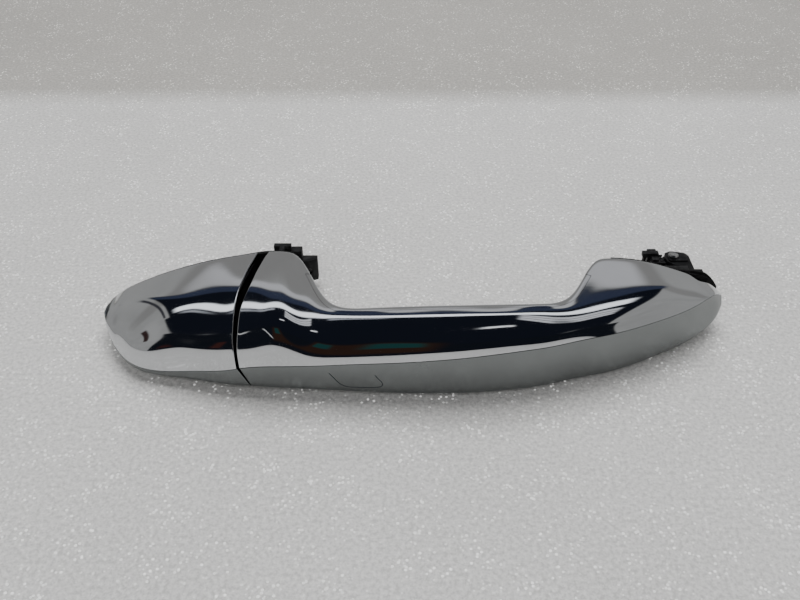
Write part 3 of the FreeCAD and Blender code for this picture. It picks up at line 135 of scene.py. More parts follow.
T["fr"] = [(-58.4, 0.301), (-58.1, 0.301), (-57.5, 0.302), (-56.6, 0.303), (-55.2, 0.303), (-53, 0.304), (-50, 0.303), (-46.5, 0.303), (-42, 0.305), (-36, 0.309), (-29, 0.298), (-22, 0.282), (-14, 0.293), (-6, 0.328), (0, 0.343), (5, 0.338), (10, 0.351), (14, 0.376), (17, 0.38), (19.5, 0.375), (21.5, 0.37), (23.5, 0.368), (25.5, 0.369), (28, 0.373), (30.5, 0.376), (33, 0.375), (36, 0.372), (39, 0.367), (42.5, 0.362), (47, 0.355), (54, 0.349), (64, 0.349), (76, 0.345), (88, 0.311), (98, 0.268), (107, 0.262), (114, 0.298), (119, 0.329), (123, 0.343), (127, 0.343), (130, 0.339), (133, 0.336), (136, 0.338), (139, 0.343), (142, 0.35), (145, 0.354), (149, 0.35), (154, 0.334), (160, 0.312), (166, 0.302), (171, 0.308), (176, 0.325), (181, 0.336), (185, 0.332), (188.5, 0.329), (191.5, 0.33), (194, 0.331), (195.8, 0.331), (197, 0.331), (197.8, 0.33), (198.2, 0.33)]
T["kb"] = [(-58.4, .8), (-56, 1.6), (-46, 3.2), (-30, 4.6), (0, 5.2), (150, 5.4), (180, 4.4), (191, 2.8), (196, 1.4), (198.2, .6)]
F = {k: pchip(v) for k, v in T.items()}

X_ALL = [-58.4, -58.1, -57.5, -56.6, -55.2, -53, -50, -46.5, -42, -36, -29, -22, -14, -6, 0, 5, 10, 14, 17, 19.5, 21.5, 23.5, 25.5, 28, 30.5, 33, 36, 39, 42.5, 47, 54, 64, 76, 88, 98, 107, 114, 119, 123, 127, 130, 133, 136, 139, 142, 145, 149, 154, 160, 166, 171, 176, 181, 185, 188.5, 191.5, 194, 195.8, 197, 197.8, 198.2]


def section(x, w=0.0, yi=None):
    """Control points of the cross-section at x, set in by w. yi replaces the inner side."""
    g = {k: F[k](x) for k in F}
    yc, zc = g["yc"] + w, g["zc"]
    ys, zb = g["ys"] + w, g["zb"] + w
    ysh, zsh = g["ysh"] + 0.5 * w, g["zsh"] - 0.9 * w
    zr, zrb = g["zr"] - w, g["zrb"] + w
    y1 = g["yi"] if yi is None else yi
    kb = max(0.5, g["kb"] - 0.6 * w)
    if w:
        zc = max(min(zc - 0.3 * w, zsh - 1.0), zb + 1.4)
    zsh = max(zsh, zc + 0.15)
    ysh = min(ysh, y1 - 0.2 * (y1 - yc))
    kb = min(kb, 0.8 * (zc - zb))
    h, wd = zsh - zc, ysh - yc
    t = math.tan(math.radians(g["ph"]))
    rr = min(g["r"], (y1 - ysh) * .45, (zr - zrb) * .3)
    zm, hz = (zr + zrb) / 2, (zr - zrb) / 2
    rb = min(g["r"], (y1 - ys) * .3, hz * .4)
    ybm = ys + (y1 - ys) * .45
    return [(x, a, b) for a, b in [
        (yc, zc),
        (yc + min(0.34 * h * t, .3 * wd), zc + 0.34 * h),
        (yc + g["fy"] * wd, zc + g["fz"] * h),
        (ysh - g["fs"] * wd, zsh - .02 * h),
        (ysh + (y1 - ysh) * g["fr"], zsh + (zr - zsh) * g["fr"]),
        (y1 - rr, zr),
        (y1, zr),
        (y1, zr - rr),
        (y1, zm + .35 * hz),
        (y1, zm - .35 * hz),
        (y1, zrb + rb),
        (y1, zrb),
        (y1 - rb, zrb),
        (ybm, zb + (zrb - zb) * .5),
        (ys + kb, zb),
        (ys, zb),
        (ys, zb + kb * .9),
        (yc + (ys - yc) * .55 - .15, zc + (zb + kb - zc) * .45),
        (yc, zc)]]



HANDLE_EDGE = [(-58, 2.0), (-54, 2.3), (-50, 2.7), (-47.4, 3.1), (-44.8, 3.95), (-42, 4.5), (-38.5, 4.8), (-34.6, 5.1), (-31.9, 5.55), (-29.3, 6.15), (-26, 7.0), (-20.2, 8.3), (-14.9, 9.35), (-10.1, 10.5), (-6.4, 11.5), (-2.8, 12.7), (-1.8, 13.05), (4, 15.2)]
CAP_EDGE = [(-58, 0.9), (-54, 1.1), (-50, 1.4), (-47.5, 1.85), (-45.9, 2.15), (-43.8, 2.45), (-40.6, 2.7), (-37.2, 2.8), (-33.4, 2.92), (-29.1, 3.1), (-25.1, 3.4), (-19, 4.3), (-12, 5.5), (-8.7, 6.3), (-5, 7.3), (-1.8, 8.1), (4, 9.4)]

CAV_YI = pchip([(-10, 3), (17.4, 3), (18.6, 0.5), (19.9, -2.2), (21.6, -5.6), (25.2, -12.2), (28.2, -18), (31.8, -25), (35.6, -30.2), (40, -33), (46, -34), (58, -34.3), (100, -34.1), (113, -33.7), (121, -32.4), (127, -30), (132, -25.4), (136, -19.6), (139.6, -13), (143, -7.4), (146, -4.2), (148, -1.0), (149.6, 3), (200, 3)])
X_CAV = [-8, -3, 2, 7, 12, 15.5, 17.5, 19, 20.5, 22.5, 25, 27.5, 30, 33, 36, 39, 42.5, 47, 54, 64, 76, 88, 98, 107, 114, 119, 123, 127, 130, 133, 136, 139, 142, 144.5, 146.5, 148, 149.5, 152, 156, 161, 166, 171, 176, 180.5, 184.5, 188, 190.5]



BAND = [(26.6, -13.4), (29.6, -20), (33.4, -27.2), (38, -32.2), (43, -34.2), (50, -34.85), (60, -35), (80, -35), (100, -34.8), (113, -34.4), (120.6, -33.2), (127, -30.6), (131.8, -26.8), (136, -20.6), (139.8, -13.6)]




# ---------------------------------------------------------------- smooth surface from the control points
def basis(n, t):
    """Index of the first control point and the four cubic basis values at each t."""
    t = np.clip(np.asarray(t, float), 0.0, 1.0)
    spans = n - 3
    kn = np.concatenate([np.zeros(3), np.linspace(0, 1, spans + 1), np.ones(3)])
    i = np.minimum((t * spans).astype(int), spans - 1) + 3
    N = [np.ones_like(t)]
    for j in range(1, 4):
        M = [np.zeros_like(t) for _ in range(j + 1)]
        for r in range(j):
            right = kn[i + r + 1]
            left = kn[i + 1 - j + r]
            tmp = N[r] / (right - left)
            M[r] = M[r] + (right - t) * tmp
            M[r + 1] = M[r + 1] + (t - left) * tmp
        N = M
    return i - 3, np.stack(N, -1)


def evaluate(G, u, v):
    u, v = np.broadcast_arrays(np.asarray(u, float), np.asarray(v, float))
    shape = u.shape
    u, v = u.ravel(), v.ravel()
    iu, Nu = basis(G.shape[0], u)
    iv, Nv = basis(G.shape[1], v)
    out = np.zeros((len(u), 3))
    for a in range(4):
        for b in range(4):
            out += (Nu[:, a] * Nv[:, b])[:, None] * G[iu + a, iv + b]
    return out.reshape(shape + (3,))


NET = np.array([section(x) for x in X_ALL])
HE = pchip(HANDLE_EDGE)
CE = pchip(CAP_EDGE)


def vec(f):
    return np.vectorize(f, otypes=[float])


HEv, CEv = vec(HE), vec(CE)


def u_at_x(G, x):
    """Parameter u at which the surface's control net passes x."""
    lo, hi = 0.0, 1.0
    for _ in range(40):
        mid = (lo + hi) / 2
        if evaluate(G, mid, 0.3)[..., 0] < x:
            lo = mid
        else:
            hi = mid
    return (lo + hi) / 2


def lean(z, low):
    """How far the slot has moved towards +X at height z."""
    return np.where(z > KINK_Z, -TILT * z, -TILT * KINK_Z - low * (z - KINK_Z))


def u_on_slot(edge, v, low, shift=0.0):
    lo, hi = np.zeros_like(v), np.ones_like(v)
    for _ in range(34):
        mid = (lo + hi) / 2
        p = evaluate(NET, mid, v)
        f = p[:, 0] - (edge(p[:, 1]) + shift + lean(p[:, 2], low))
        lo = np.where(f < 0, mid, lo)
        hi = np.where(f < 0, hi, mid)
    return (lo + hi) / 2


def v_samples(per_span):
    spans = NET.shape[1] - 3
    v = np.linspace(0, 1, spans * per_span + 1)[1:-1]
    near = np.array([.0007, .0014, .0026, .0045, .0075, .0115])
    v = v[(v > .0125) & (v < 1 - .0125)]
    return np.concatenate([[0.0], near, v, 1 - near[::-1]])


def x_samples(x0, x1, step):
    """Stations between x0 and x1, closer together towards the two tips."""
    xs = [x0]
    while xs[-1] < x1:
        x = xs[-1]
        d = min(x + 58.6, 198.4 - x)
        s = min(step, 0.12 + d * 0.06)
        xs.append(x + s)
    xs[-1] = x1
    if xs[-1] - xs[-2] < 0.05:
        xs.pop(-2)
    return np.array(xs)


def u_of_x_table():
    u = np.linspace(0, 1, 4000)
    return evaluate(NET, u, 0.3)[:, 0], u


XT, UT = u_of_x_table()
STEP = 0.62
PER = 15
V_ALL = v_samples(PER)
GROOVE = 0.22


def groove(P):
    """Sinks the crease line, which is column 0, by GROOVE towards the inside of the section."""
    c = P.mean(axis=1, keepdims=True)
    d = c[:, 0] - P[:, 0]
    d[:, 0] = 0
    L = np.linalg.norm(d, axis=1, keepdims=True) + 1e-9
    w = np.clip(L / 6.0, 0.0, 1.0)
    P = P.copy()
    P[:, 0] += d / L * GROOVE * w
    return P


def closed_mesh(name, rows, fan0=False, fan1=False, lower=None):
    """Mesh from rows of points, each row a closed loop, closed by a fan or one flat face at the ends."""
    nr, nc = rows.shape[:2]
    verts = rows.reshape(-1, 3)
    faces = []
    idx = np.arange(nr * nc).reshape(nr, nc)
    a = idx[:-1]
    b = idx[1:]
    q = np.stack([a, np.roll(a, -1, 1), np.roll(b, -1, 1), b], -1).reshape(-1, 4)
    faces = q.tolist()
    verts = verts.tolist()
    if not fan0:
        faces.append([int(j) for j in idx[0][::-1]])
    else:
        verts.append(rows[0].mean(0).tolist())
        k = len(verts) - 1
        faces += [[k, int(idx[0, (j + 1) % nc]), int(idx[0, j])] for j in range(nc)]
    if not fan1:
        faces.append([int(j) for j in idx[-1]])
    else:
        verts.append(rows[-1].mean(0).tolist())
        k = len(verts) - 1
        faces += [[k, int(idx[-1, j]), int(idx[-1, (j + 1) % nc])] for j in range(nc)]
    me = bpy.data.meshes.new(name)
    me.from_pydata([(x * MM, y * MM, z * MM) for x, y, z in verts], [], faces)
    if lower is not None:
        # column j lies between sample j and the next one
        cols = np.tile(lower.astype(int), nr - 1)
        side = np.ones(len(faces), dtype=int)
        side[:len(cols)] = cols
        # the last rows at each tip also take the darker lower plating: painted shade at the tips
        if fan0:
            side[len(cols) - 4 * nc:len(cols)] = 1
        else:
            side[:12 * nc] = 1
        me.materials.append(bpy.data.materials.new("a"))
        me.materials.append(bpy.data.materials.new("b"))
        me.materials.append(bpy.data.materials.new("c"))
        me.polygons.foreach_set("material_index", side)
    ob = bpy.data.objects.new(name, me)
    scene.collection.objects.link(ob)
    bm = bmesh.new()
    bm.from_mesh(me)
    bmesh.ops.recalc_face_normals(bm, faces=bm.faces)
    bm.to_mesh(me)
    bm.free()
    return ob


def tip_rows(P, r, inward):
    """Rounds the flat end of a tip: extra rows that roll over by r."""
    c = P.mean(0)
    out = []
    for k in (0.35, 0.65, 0.88, 1.0):
        ang = k * math.pi / 2
        s = 1.0 - (1 - math.cos(ang)) * 0.55
        row = c + (P - c) * s
        row[:, 0] = P[:, 0] + inward * r * math.sin(ang)
        out.append(row)
    return out


def slot_rows(P, edge, low, side, rho=0.3):
    """Rows that roll the skin over the slot's edge and carry it inwards as the end wall.
    side is -1 when the slot lies towards -X of the skin."""
    c = P.mean(0)
    d = c - P
    d[:, 0] = 0
    L = np.linalg.norm(d, axis=1, keepdims=True) + 1e-9
    dn = d / L
    rows = []
    for ang in (30, 60, 90):
        a = math.radians(ang)
        row = P + dn * rho * (1 - math.cos(a))
        row[:, 0] = P[:, 0] + side * rho * math.sin(a)
        rows.append(row)
    for k in (0.12, 0.28, 0.5):
        row = P + d * k
        row[:, 0] = edge(row[:, 1]) + lean(row[:, 2], low)
        rows.append(row)
    return rows


# ---------------------------------------------------------------- cutters
def smooth_plan(pts, n=6):
    """Points of a plan curve, filled in between with a cubic through them."""
    P = np.array(pts, float)
    t = np.concatenate([[0], np.cumsum(np.linalg.norm(np.diff(P, axis=0), axis=1))])
    m = len(P)
    h = np.diff(t)
    A = np.zeros((m, m))
    A[0, 0] = A[-1, -1] = 1
    b = np.zeros((m, 2))
    for i in range(1, m - 1):
        A[i, i - 1], A[i, i], A[i, i + 1] = h[i - 1], 2 * (h[i - 1] + h[i]), h[i]
        b[i] = 6 * ((P[i + 1] - P[i]) / h[i] - (P[i] - P[i - 1]) / h[i - 1])
    M = np.linalg.solve(A, b)
    out = []
    for i in range(m - 1):
        for k in range(n):
            x = t[i] + h[i] * k / n
            a_, c_ = t[i + 1] - x, x - t[i]
            out.append((M[i] * a_ ** 3 + M[i + 1] * c_ ** 3) / (6 * h[i])
                       + (P[i] / h[i] - M[i] * h[i] / 6) * a_ + (P[i + 1] / h[i] - M[i + 1] * h[i] / 6) * c_)
    out.append(P[-1])
    return [tuple(p) for p in out]


def plan_prism(name, pts, z0=-40.0, z1=40.0):
    n = len(pts)
    verts = [(x * MM, y * MM, z0 * MM) for x, y in pts] + [(x * MM, y * MM, z1 * MM) for x, y in pts]
    faces = [[i, (i + 1) % n, n + (i + 1) % n, n + i] for i in range(n)]
    faces += [list(range(n))[::-1], list(range(n, 2 * n))]
    me = bpy.data.meshes.new(name)
    me.from_pydata(verts, [], faces)
    bm = bmesh.new()
    bm.from_mesh(me)
    bmesh.ops.recalc_face_normals(bm, faces=bm.faces)
    bm.to_mesh(me)
    bm.free()
    ob = bpy.data.objects.new(name, me)
    scene.collection.objects.link(ob)
    return ob


def band_points(grow):
    pts = []
    n = len(BAND)
    for i, (x, y) in enumerate(BAND):
        a = BAND[max(0, i - 1)]
        b = BAND[min(n - 1, i + 1)]
        tx, ty = b[0] - a[0], b[1] - a[1]
        L = math.hypot(tx, ty)
        pts.append((x + ty / L * grow, y - tx / L * grow))
    if grow:
        for e, f in ((0, 1), (-1, -2)):
            dx, dy = pts[e][0] - pts[f][0], pts[e][1] - pts[f][1]
            L = math.hypot(dx, dy)
            pts[e] = (pts[e][0] + dx / L * 0.3, pts[e][1] + dy / L * 0.3)
    a, b = pts[0], pts[-1]
    return smooth_plan(pts) + [(b[0] - 8.5, b[1] + 3.5), (110, -20), (60, -20), (a[0] + 8.5, a[1] + 3.0)]


def boolean(ob, cutter, op="DIFFERENCE"):
    m = ob.modifiers.new("b", "BOOLEAN")
    m.operation = op
    m.solver = "EXACT"
    m.object = cutter
    dg = bpy.context.evaluated_depsgraph_get()
    new = bpy.data.meshes.new_from_object(ob.evaluated_get(dg))
    ob.modifiers.clear()
    old = ob.data
    ob.data = new
    bpy.data.meshes.remove(old)
    bpy.data.objects.remove(cutter)
    return ob


def clean(ob, angle=38.0, merge=0.00001):
    bm = bmesh.new()
    bm.from_mesh(ob.data)
    bmesh.ops.remove_doubles(bm, verts=bm.verts, dist=merge)
    bmesh.ops.dissolve_degenerate(bm, dist=merge * 0.5, edges=bm.edges)
    lim = math.radians(angle)
    for f in bm.faces:
        f.smooth = True
    for e in bm.edges:
        e.smooth = len(e.link_faces) == 2 and e.calc_face_angle(0.0) < lim
    bm.to_mesh(ob.data)
    bm.free()
    ob.data.update()


# ---------------------------------------------------------------- chrome pieces
def handle_rows(v):
    u0 = u_on_slot(HEv, v, TILT_LOW, 0.3)
    xs = x_samples(5.0, 197.85, STEP)
    us = np.interp(xs, XT, UT)
    s = (us - us[0]) / (1.0 - us[0])
    U = u0[None, :] + s[:, None] * (1.0 - u0[None, :])
    P = groove(evaluate(NET, U, np.broadcast_to(v, U.shape)))
    head = slot_rows(P[0], HEv, TILT_LOW, -1)
    rows = head[::-1] + [r for r in P] + tip_rows(P[-1], 0.35, 1)
    return np.array(rows)


def cap_rows(v):
    u1 = u_on_slot(CEv, v, TILT_LOW_CAP, -0.3)
    xs = x_samples(-58.05, 2.0, STEP)
    us = np.interp(xs, XT, UT)
    s = us / us[-1]
    U = s[:, None] * u1[None, :]
    P = groove(evaluate(NET, U, np.broadcast_to(v, U.shape)))
    tail = slot_rows(P[-1], CEv, TILT_LOW_CAP, 1)
    rows = tip_rows(P[0], 0.35, -1)[::-1] + [r for r in P] + tail
    return np.array(rows)


def cavity_mesh(name, xs, w, yi, step):
    G = np.array([section(x, w, yi(x) if callable(yi) else yi) for x in xs])
    u = np.linspace(0, 1, int((xs[-1] - xs[0]) / step))
    v = np.linspace(0, 1, 97)[:-1]
    P = evaluate(G, u[:, None] * np.ones_like(v)[None], v[None] * np.ones_like(u)[:, None])
    return closed_mesh(name, P)


# lower picks the lower-face columns, which get the darker plating of slot 1: painted shade
outer = closed_mesh("outer_shell", handle_rows(V_ALL), fan0=True, lower=V_ALL > 0.80)
boolean(outer, cavity_mesh("cav", X_CAV, WALL, CAV_YI, 1.3))
boolean(outer, plan_prism("band_cut", band_points(0.14)))

v_in = V_ALL
us = np.interp(x_samples(24.0, 143.0, STEP), XT, UT)
P_in = evaluate(NET, us[:, None] * np.ones_like(v_in)[None], v_in[None] * np.ones_like(us)[:, None])
inner = closed_mesh("finger_side_cover", P_in)
boolean(inner, plan_prism("band_keep", band_points(0.0)), "INTERSECT")

cap = closed_mesh("end_cap", cap_rows(V_ALL), fan1=True, lower=V_ALL > 0.80)
boolean(cap, cavity_mesh("capcav", [-50.5, -49.5, -47.5, -44.5, -40, -34, -27, -20, -12, -4, 2, 8, 14], WALL, 3.0, 1.3))


# outline of the touch sensor, pressed into the lower face as a fine groove
def lower_face(x, z):
    """Y of the lower face at x, z."""
    u = np.interp(x, XT, UT)
    vs = np.linspace(0.80, 0.999, 240)
    P = evaluate(NET, np.full_like(vs, u), vs)
    o = np.argsort(P[:, 2])
    return float(np.interp(z, P[o, 2], P[o, 1]))


def tube_mesh(name, pts, r, seg=6):
    pts = [np.array(p) for p in pts]
    rings = []
    for i, p in enumerate(pts):
        a, b = pts[max(0, i - 1)], pts[min(len(pts) - 1, i + 1)]
        t = (b - a) / np.linalg.norm(b - a)
        n1 = np.cross(t, [0, 1, 0])
        n1 /= np.linalg.norm(n1)
        n2 = np.cross(t, n1)
        rings.append([p + r * (n1 * math.cos(k * 2 * math.pi / seg) + n2 * math.sin(k * 2 * math.pi / seg)) for k in range(seg)])
    return closed_mesh(name, np.array(rings))


OUTLINE = [(37.2, -3.4), (39.4, -6.8), (41.6, -9.6), (43.6, -10.6), (47.0, -10.9), (51.0, -10.9), (55.0, -10.6), (57.0, -9.8), (57.3, -8.4), (56.2, -6.4), (54.6, -3.8)]
line = smooth_plan(OUTLINE, 5)
path = [(x, lower_face(x, z) + 0.02, z) for x, z in line]
groove_tool = tube_mesh("outline_cut", path, 0.2)
for k in "abc":
    groove_tool.data.materials.append(bpy.data.materials[k])
groove_tool.data.polygons.foreach_set("material_index", [2] * len(groove_tool.data.polygons))
boolean(outer, groove_tool)

for ob in (outer, inner, cap):
    clean(ob)

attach(outer, "grip")
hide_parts("outer_cover")
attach(inner, "grip")
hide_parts("inner_cover")
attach(cap, "door_side")
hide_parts("cap_shell")


# ---------------------------------------------------------------- black mouldings, with their edges broken
def softened(name, width, body, slot):
    src = frame["nodes"][name]
    me = src.data.copy()
    me.transform(src.matrix_world)
    bm = bmesh.new()
    bm.from_mesh(me)
    bmesh.ops.remove_doubles(bm, verts=bm.verts, dist=2e-6)
    bmesh.ops.dissolve_limit(bm, angle_limit=math.radians(1.2), verts=bm.verts, edges=bm.edges)
    bm.to_mesh(me)
    bm.free()
    me.materials.clear()
    ob = bpy.data.objects.new(name + "_moulding", me)
    scene.collection.objects.link(ob)
    m = ob.modifiers.new("edge", "BEVEL")
    m.width = width * MM
    m.segments = 2
    m.limit_method = "ANGLE"
    m.angle_limit = math.radians(32.0)
    m.use_clamp_overlap = True
    dg = bpy.context.evaluated_depsgraph_get()
    new = bpy.data.meshes.new_from_object(ob.evaluated_get(dg))
    ob.modifiers.clear()
    ob.data = new
    clean(ob, 40.0, 0.000002)
    ob.data.materials.append(MATS[slot])
    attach(ob, body)
    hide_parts(name)
    return ob


# ---------------------------------------------------------------- materials
class Mat:
    def __init__(self, name):
        self.m = bpy.data.materials.new(name)
        self.m.use_nodes = True
        self.nt = self.m.node_tree
        self.b = self.nt.nodes["Principled BSDF"]
        self.tc = self.nt.nodes.new("ShaderNodeTexCoord")

    def node(self, kind, **props):
        n = self.nt.nodes.new(kind)
        for k, v in props.items():
            setattr(n, k, v)
        return n

    def link(self, a, b):
        self.nt.links.new(a, b)

    def noise(self, scale, detail=3.0, rough=0.5, stretch=None):
        n = self.node("ShaderNodeTexNoise")
        n.inputs["Scale"].default_value = scale
        n.inputs["Detail"].default_value = detail
        n.inputs["Roughness"].default_value = rough
        if stretch:
            mp = self.node("ShaderNodeMapping")
            mp.inputs["Scale"].default_value = stretch
            self.link(self.tc.outputs["Object"], mp.inputs["Vector"])
            self.link(mp.outputs["Vector"], n.inputs["Vector"])
        else:
            self.link(self.tc.outputs["Object"], n.inputs["Vector"])
        return n.outputs["Fac"]

    def ramp(self, src, stops):
        r = self.node("ShaderNodeValToRGB")
        el = r.color_ramp.elements
        while len(el) < len(stops):
            el.new(0.5)
        for e, (p, c) in zip(el, stops):
            e.position = p
            e.color = c if len(c) == 4 else (*c, 1.0)
        self.link(src, r.inputs["Fac"])
        return r.outputs["Color"]

    def bump(self, heights):
        """heights: list of (source, distance in metres, strength)."""
        prev = None
        for src, dist, strength in heights:
            b = self.node("ShaderNodeBump")
            b.inputs["Distance"].default_value = dist
            b.inputs["Strength"].default_value = strength
            self.link(src, b.inputs["Height"])
            if prev is not None:
                self.link(prev, b.inputs["Normal"])
            prev = b.outputs["Normal"]
        self.link(prev, self.b.inputs["Normal"])


def grey(v, a=1.0):
    return (v, v, v, a)


def chrome(name, tint, rough, specks=1.0):
    M = Mat(name)
    M.b.inputs["Metallic"].default_value = 1.0
    # cloudy film, finger marks and fine dust on the plating
    film = M.noise(38.0, 5.0, 0.6)
    col = M.ramp(film, [(0.32, tuple(c * 0.94 for c in tint)), (0.62, tint)])
    M.link(col, M.b.inputs["Base Color"])
    scratch = M.noise(900.0, 2.0, 0.6, (0.06, 1.0, 1.0))
    dust = M.node("ShaderNodeTexVoronoi")
    dust.inputs["Scale"].default_value = 900.0
    M.link(M.tc.outputs["Object"], dust.inputs["Vector"])
    dust_f = M.ramp(dust.outputs["Distance"], [(0.0, grey(1.0)), (0.16, grey(0.0))])
    patch = M.ramp(M.noise(55.0, 4.0, 0.65), [(0.50, grey(0.0)), (0.72, grey(1.0))])
    mul = M.node("ShaderNodeMath", operation="MULTIPLY")
    M.link(dust_f, mul.inputs[0])
    M.link(patch, mul.inputs[1])
    base_r = M.ramp(film, [(0.30, grey(rough * 0.8)), (0.70, grey(rough * 1.5))])
    add = M.node("ShaderNodeMath", operation="MULTIPLY_ADD")
    M.link(mul.outputs[0], add.inputs[0])
    add.inputs[1].default_value = 0.34 * specks
    M.link(base_r, add.inputs[2])
    M.link(add.outputs[0], M.b.inputs["Roughness"])
    M.bump([(M.noise(210.0, 2.0, 0.5), 0.00002, 0.16), (scratch, 0.000003, 0.25), (mul.outputs[0], 0.00001, 0.3)])
    return M.m


def plastic(name, col, rough, grain=1800.0, depth=0.00004, worn=0.35):
    M = Mat(name)
    n = M.noise(60.0, 5.0, 0.6)
    c = M.ramp(n, [(0.3, tuple(x * 0.75 for x in col)), (0.7, tuple(min(1.0, x * 1.35) for x in col))])
    # paler rubbed edges
    geo = M.node("ShaderNodeNewGeometry")
    edge = M.ramp(geo.outputs["Pointiness"], [(0.50, grey(0.0)), (0.60, grey(1.0))])
    wear = M.node("ShaderNodeMath", operation="MULTIPLY")
    M.link(edge, wear.inputs[0])
    M.link(M.ramp(M.noise(420.0, 3.0, 0.6), [(0.42, grey(0.0)), (0.62, grey(worn))]), wear.inputs[1])
    mix = M.node("ShaderNodeMix", data_type="RGBA")
    M.link(wear.outputs[0], mix.inputs["Factor"])
    M.link(c, mix.inputs[6])
    mix.inputs[7].default_value = (*[min(1.0, x * 2.5 + 0.04) for x in col], 1.0)
    M.link(mix.outputs[2], M.b.inputs["Base Color"])
    M.link(M.ramp(n, [(0.3, grey(max(0.0, rough - 0.08))), (0.7, grey(min(1.0, rough + 0.10)))]), M.b.inputs["Roughness"])
    M.b.inputs["Specular IOR Level"].default_value = 0.2 if max(col) < 0.02 else 0.5
    M.bump([(M.noise(grain, 2.0, 0.5), depth, 0.35)])
    return M.m


def metal(name, col, rough, stretch=(1.0, 1.0, 0.08)):
    M = Mat(name)
    M.b.inputs["Metallic"].default_value = 1.0
    n = M.noise(160.0, 4.0, 0.6)
    M.link(M.ramp(n, [(0.3, tuple(x * 0.8 for x in col)), (0.7, col)]), M.b.inputs["Base Color"])
    s = M.noise(2600.0, 2.0, 0.5, stretch)
    M.link(M.ramp(s, [(0.3, grey(rough * 0.8)), (0.7, grey(min(1.0, rough * 1.4)))]), M.b.inputs["Roughness"])
    M.bump([(s, 0.00001, 0.3)])
    return M.m


MATS = {
    "chrome_shell": chrome("chrome_plating", (0.585, 0.597, 0.61), 0.045),
    # darker copy of the plating for the lower face and the tips: its dark tint is painted shade for the shaded floor
    # these faces reflect
    "chrome_lower_painted_shade": chrome("satin_plating", (0.215, 0.228, 0.227), 0.20, 0.3),
    "outline_ink": plastic("outline_ink", (0.03, 0.035, 0.04), 0.5, 1800.0, 0.00001, 0.0),
    "chrome_inner": chrome("chrome_plating_inner", (0.585, 0.597, 0.61), 0.06, 0.6),
    "black_plastic": plastic("black_plastic", (0.0075, 0.0075, 0.008), 0.5),
    "core_plastic": plastic("core_plastic", (0.05, 0.05, 0.055), 0.55),
    "gasket_rubber": plastic("gasket_rubber", (0.007, 0.007, 0.007), 0.62, 2600.0, 0.00003, 0.15),
    "steel": metal("zinc_steel", (0.56, 0.56, 0.55), 0.30),
    "bush_plastic": plastic("bush_plastic", (0.72, 0.70, 0.64), 0.42),
    "ferrite": plastic("ferrite", (0.06, 0.056, 0.052), 0.7),
    "copper": metal("copper", (0.78, 0.42, 0.24), 0.26, (0.05, 1.0, 1.0)),
    "board_green": plastic("board_green", (0.02, 0.14, 0.06), 0.3, 900.0, 0.00002, 0.1),
    "chip_black": plastic("chip_black", (0.025, 0.025, 0.026), 0.5),
    "contact_tin": metal("contact_tin", (0.72, 0.70, 0.64), 0.24),
    "lead_black": plastic("lead_black", (0.016, 0.016, 0.017), 0.5),
}

# slot 1 is the darker plating of the lower face and tips, which is painted shade
for ob, s in ((outer, "chrome_shell"), (inner, "chrome_inner"), (cap, "chrome_shell")):
    index = [p.material_index for p in ob.data.polygons]
    ob.data.materials.clear()
    ob.data.materials.append(MATS[s])
    ob.data.materials.append(MATS["chrome_lower_painted_shade"])
    ob.data.materials.append(MATS["outline_ink"])
    ob.data.polygons.foreach_set("material_index", [min(2, k) for k in index])

slots = {p["node"]: p["material_slot"] for p in frame["record"]["subparts"]}
for node, width, body in (("pull_stem", 0.22, "grip"), ("stem_hook", 0.25, "grip"), ("connector_housing", 0.2, "grip"), ("connector_bracket", 0.15, "grip"), ("front_bearing", 0.25, "door_side"), ("rear_foot_block", 0.2, "grip")):
    softened(node, width, body, slots[node])
for name, ob in frame["nodes"].items():
    m = MATS[slots[name]]
    if not ob.material_slots:
        ob.data.materials.append(m)
    for s in ob.material_slots:
        s.link = "OBJECT"
        s.material = m

# ---------------------------------------------------------------- floor
lo, hi = cad_box
floor_z = lo[2]


# where the painted shade on the far floor begins
FAR_Y = 0.005


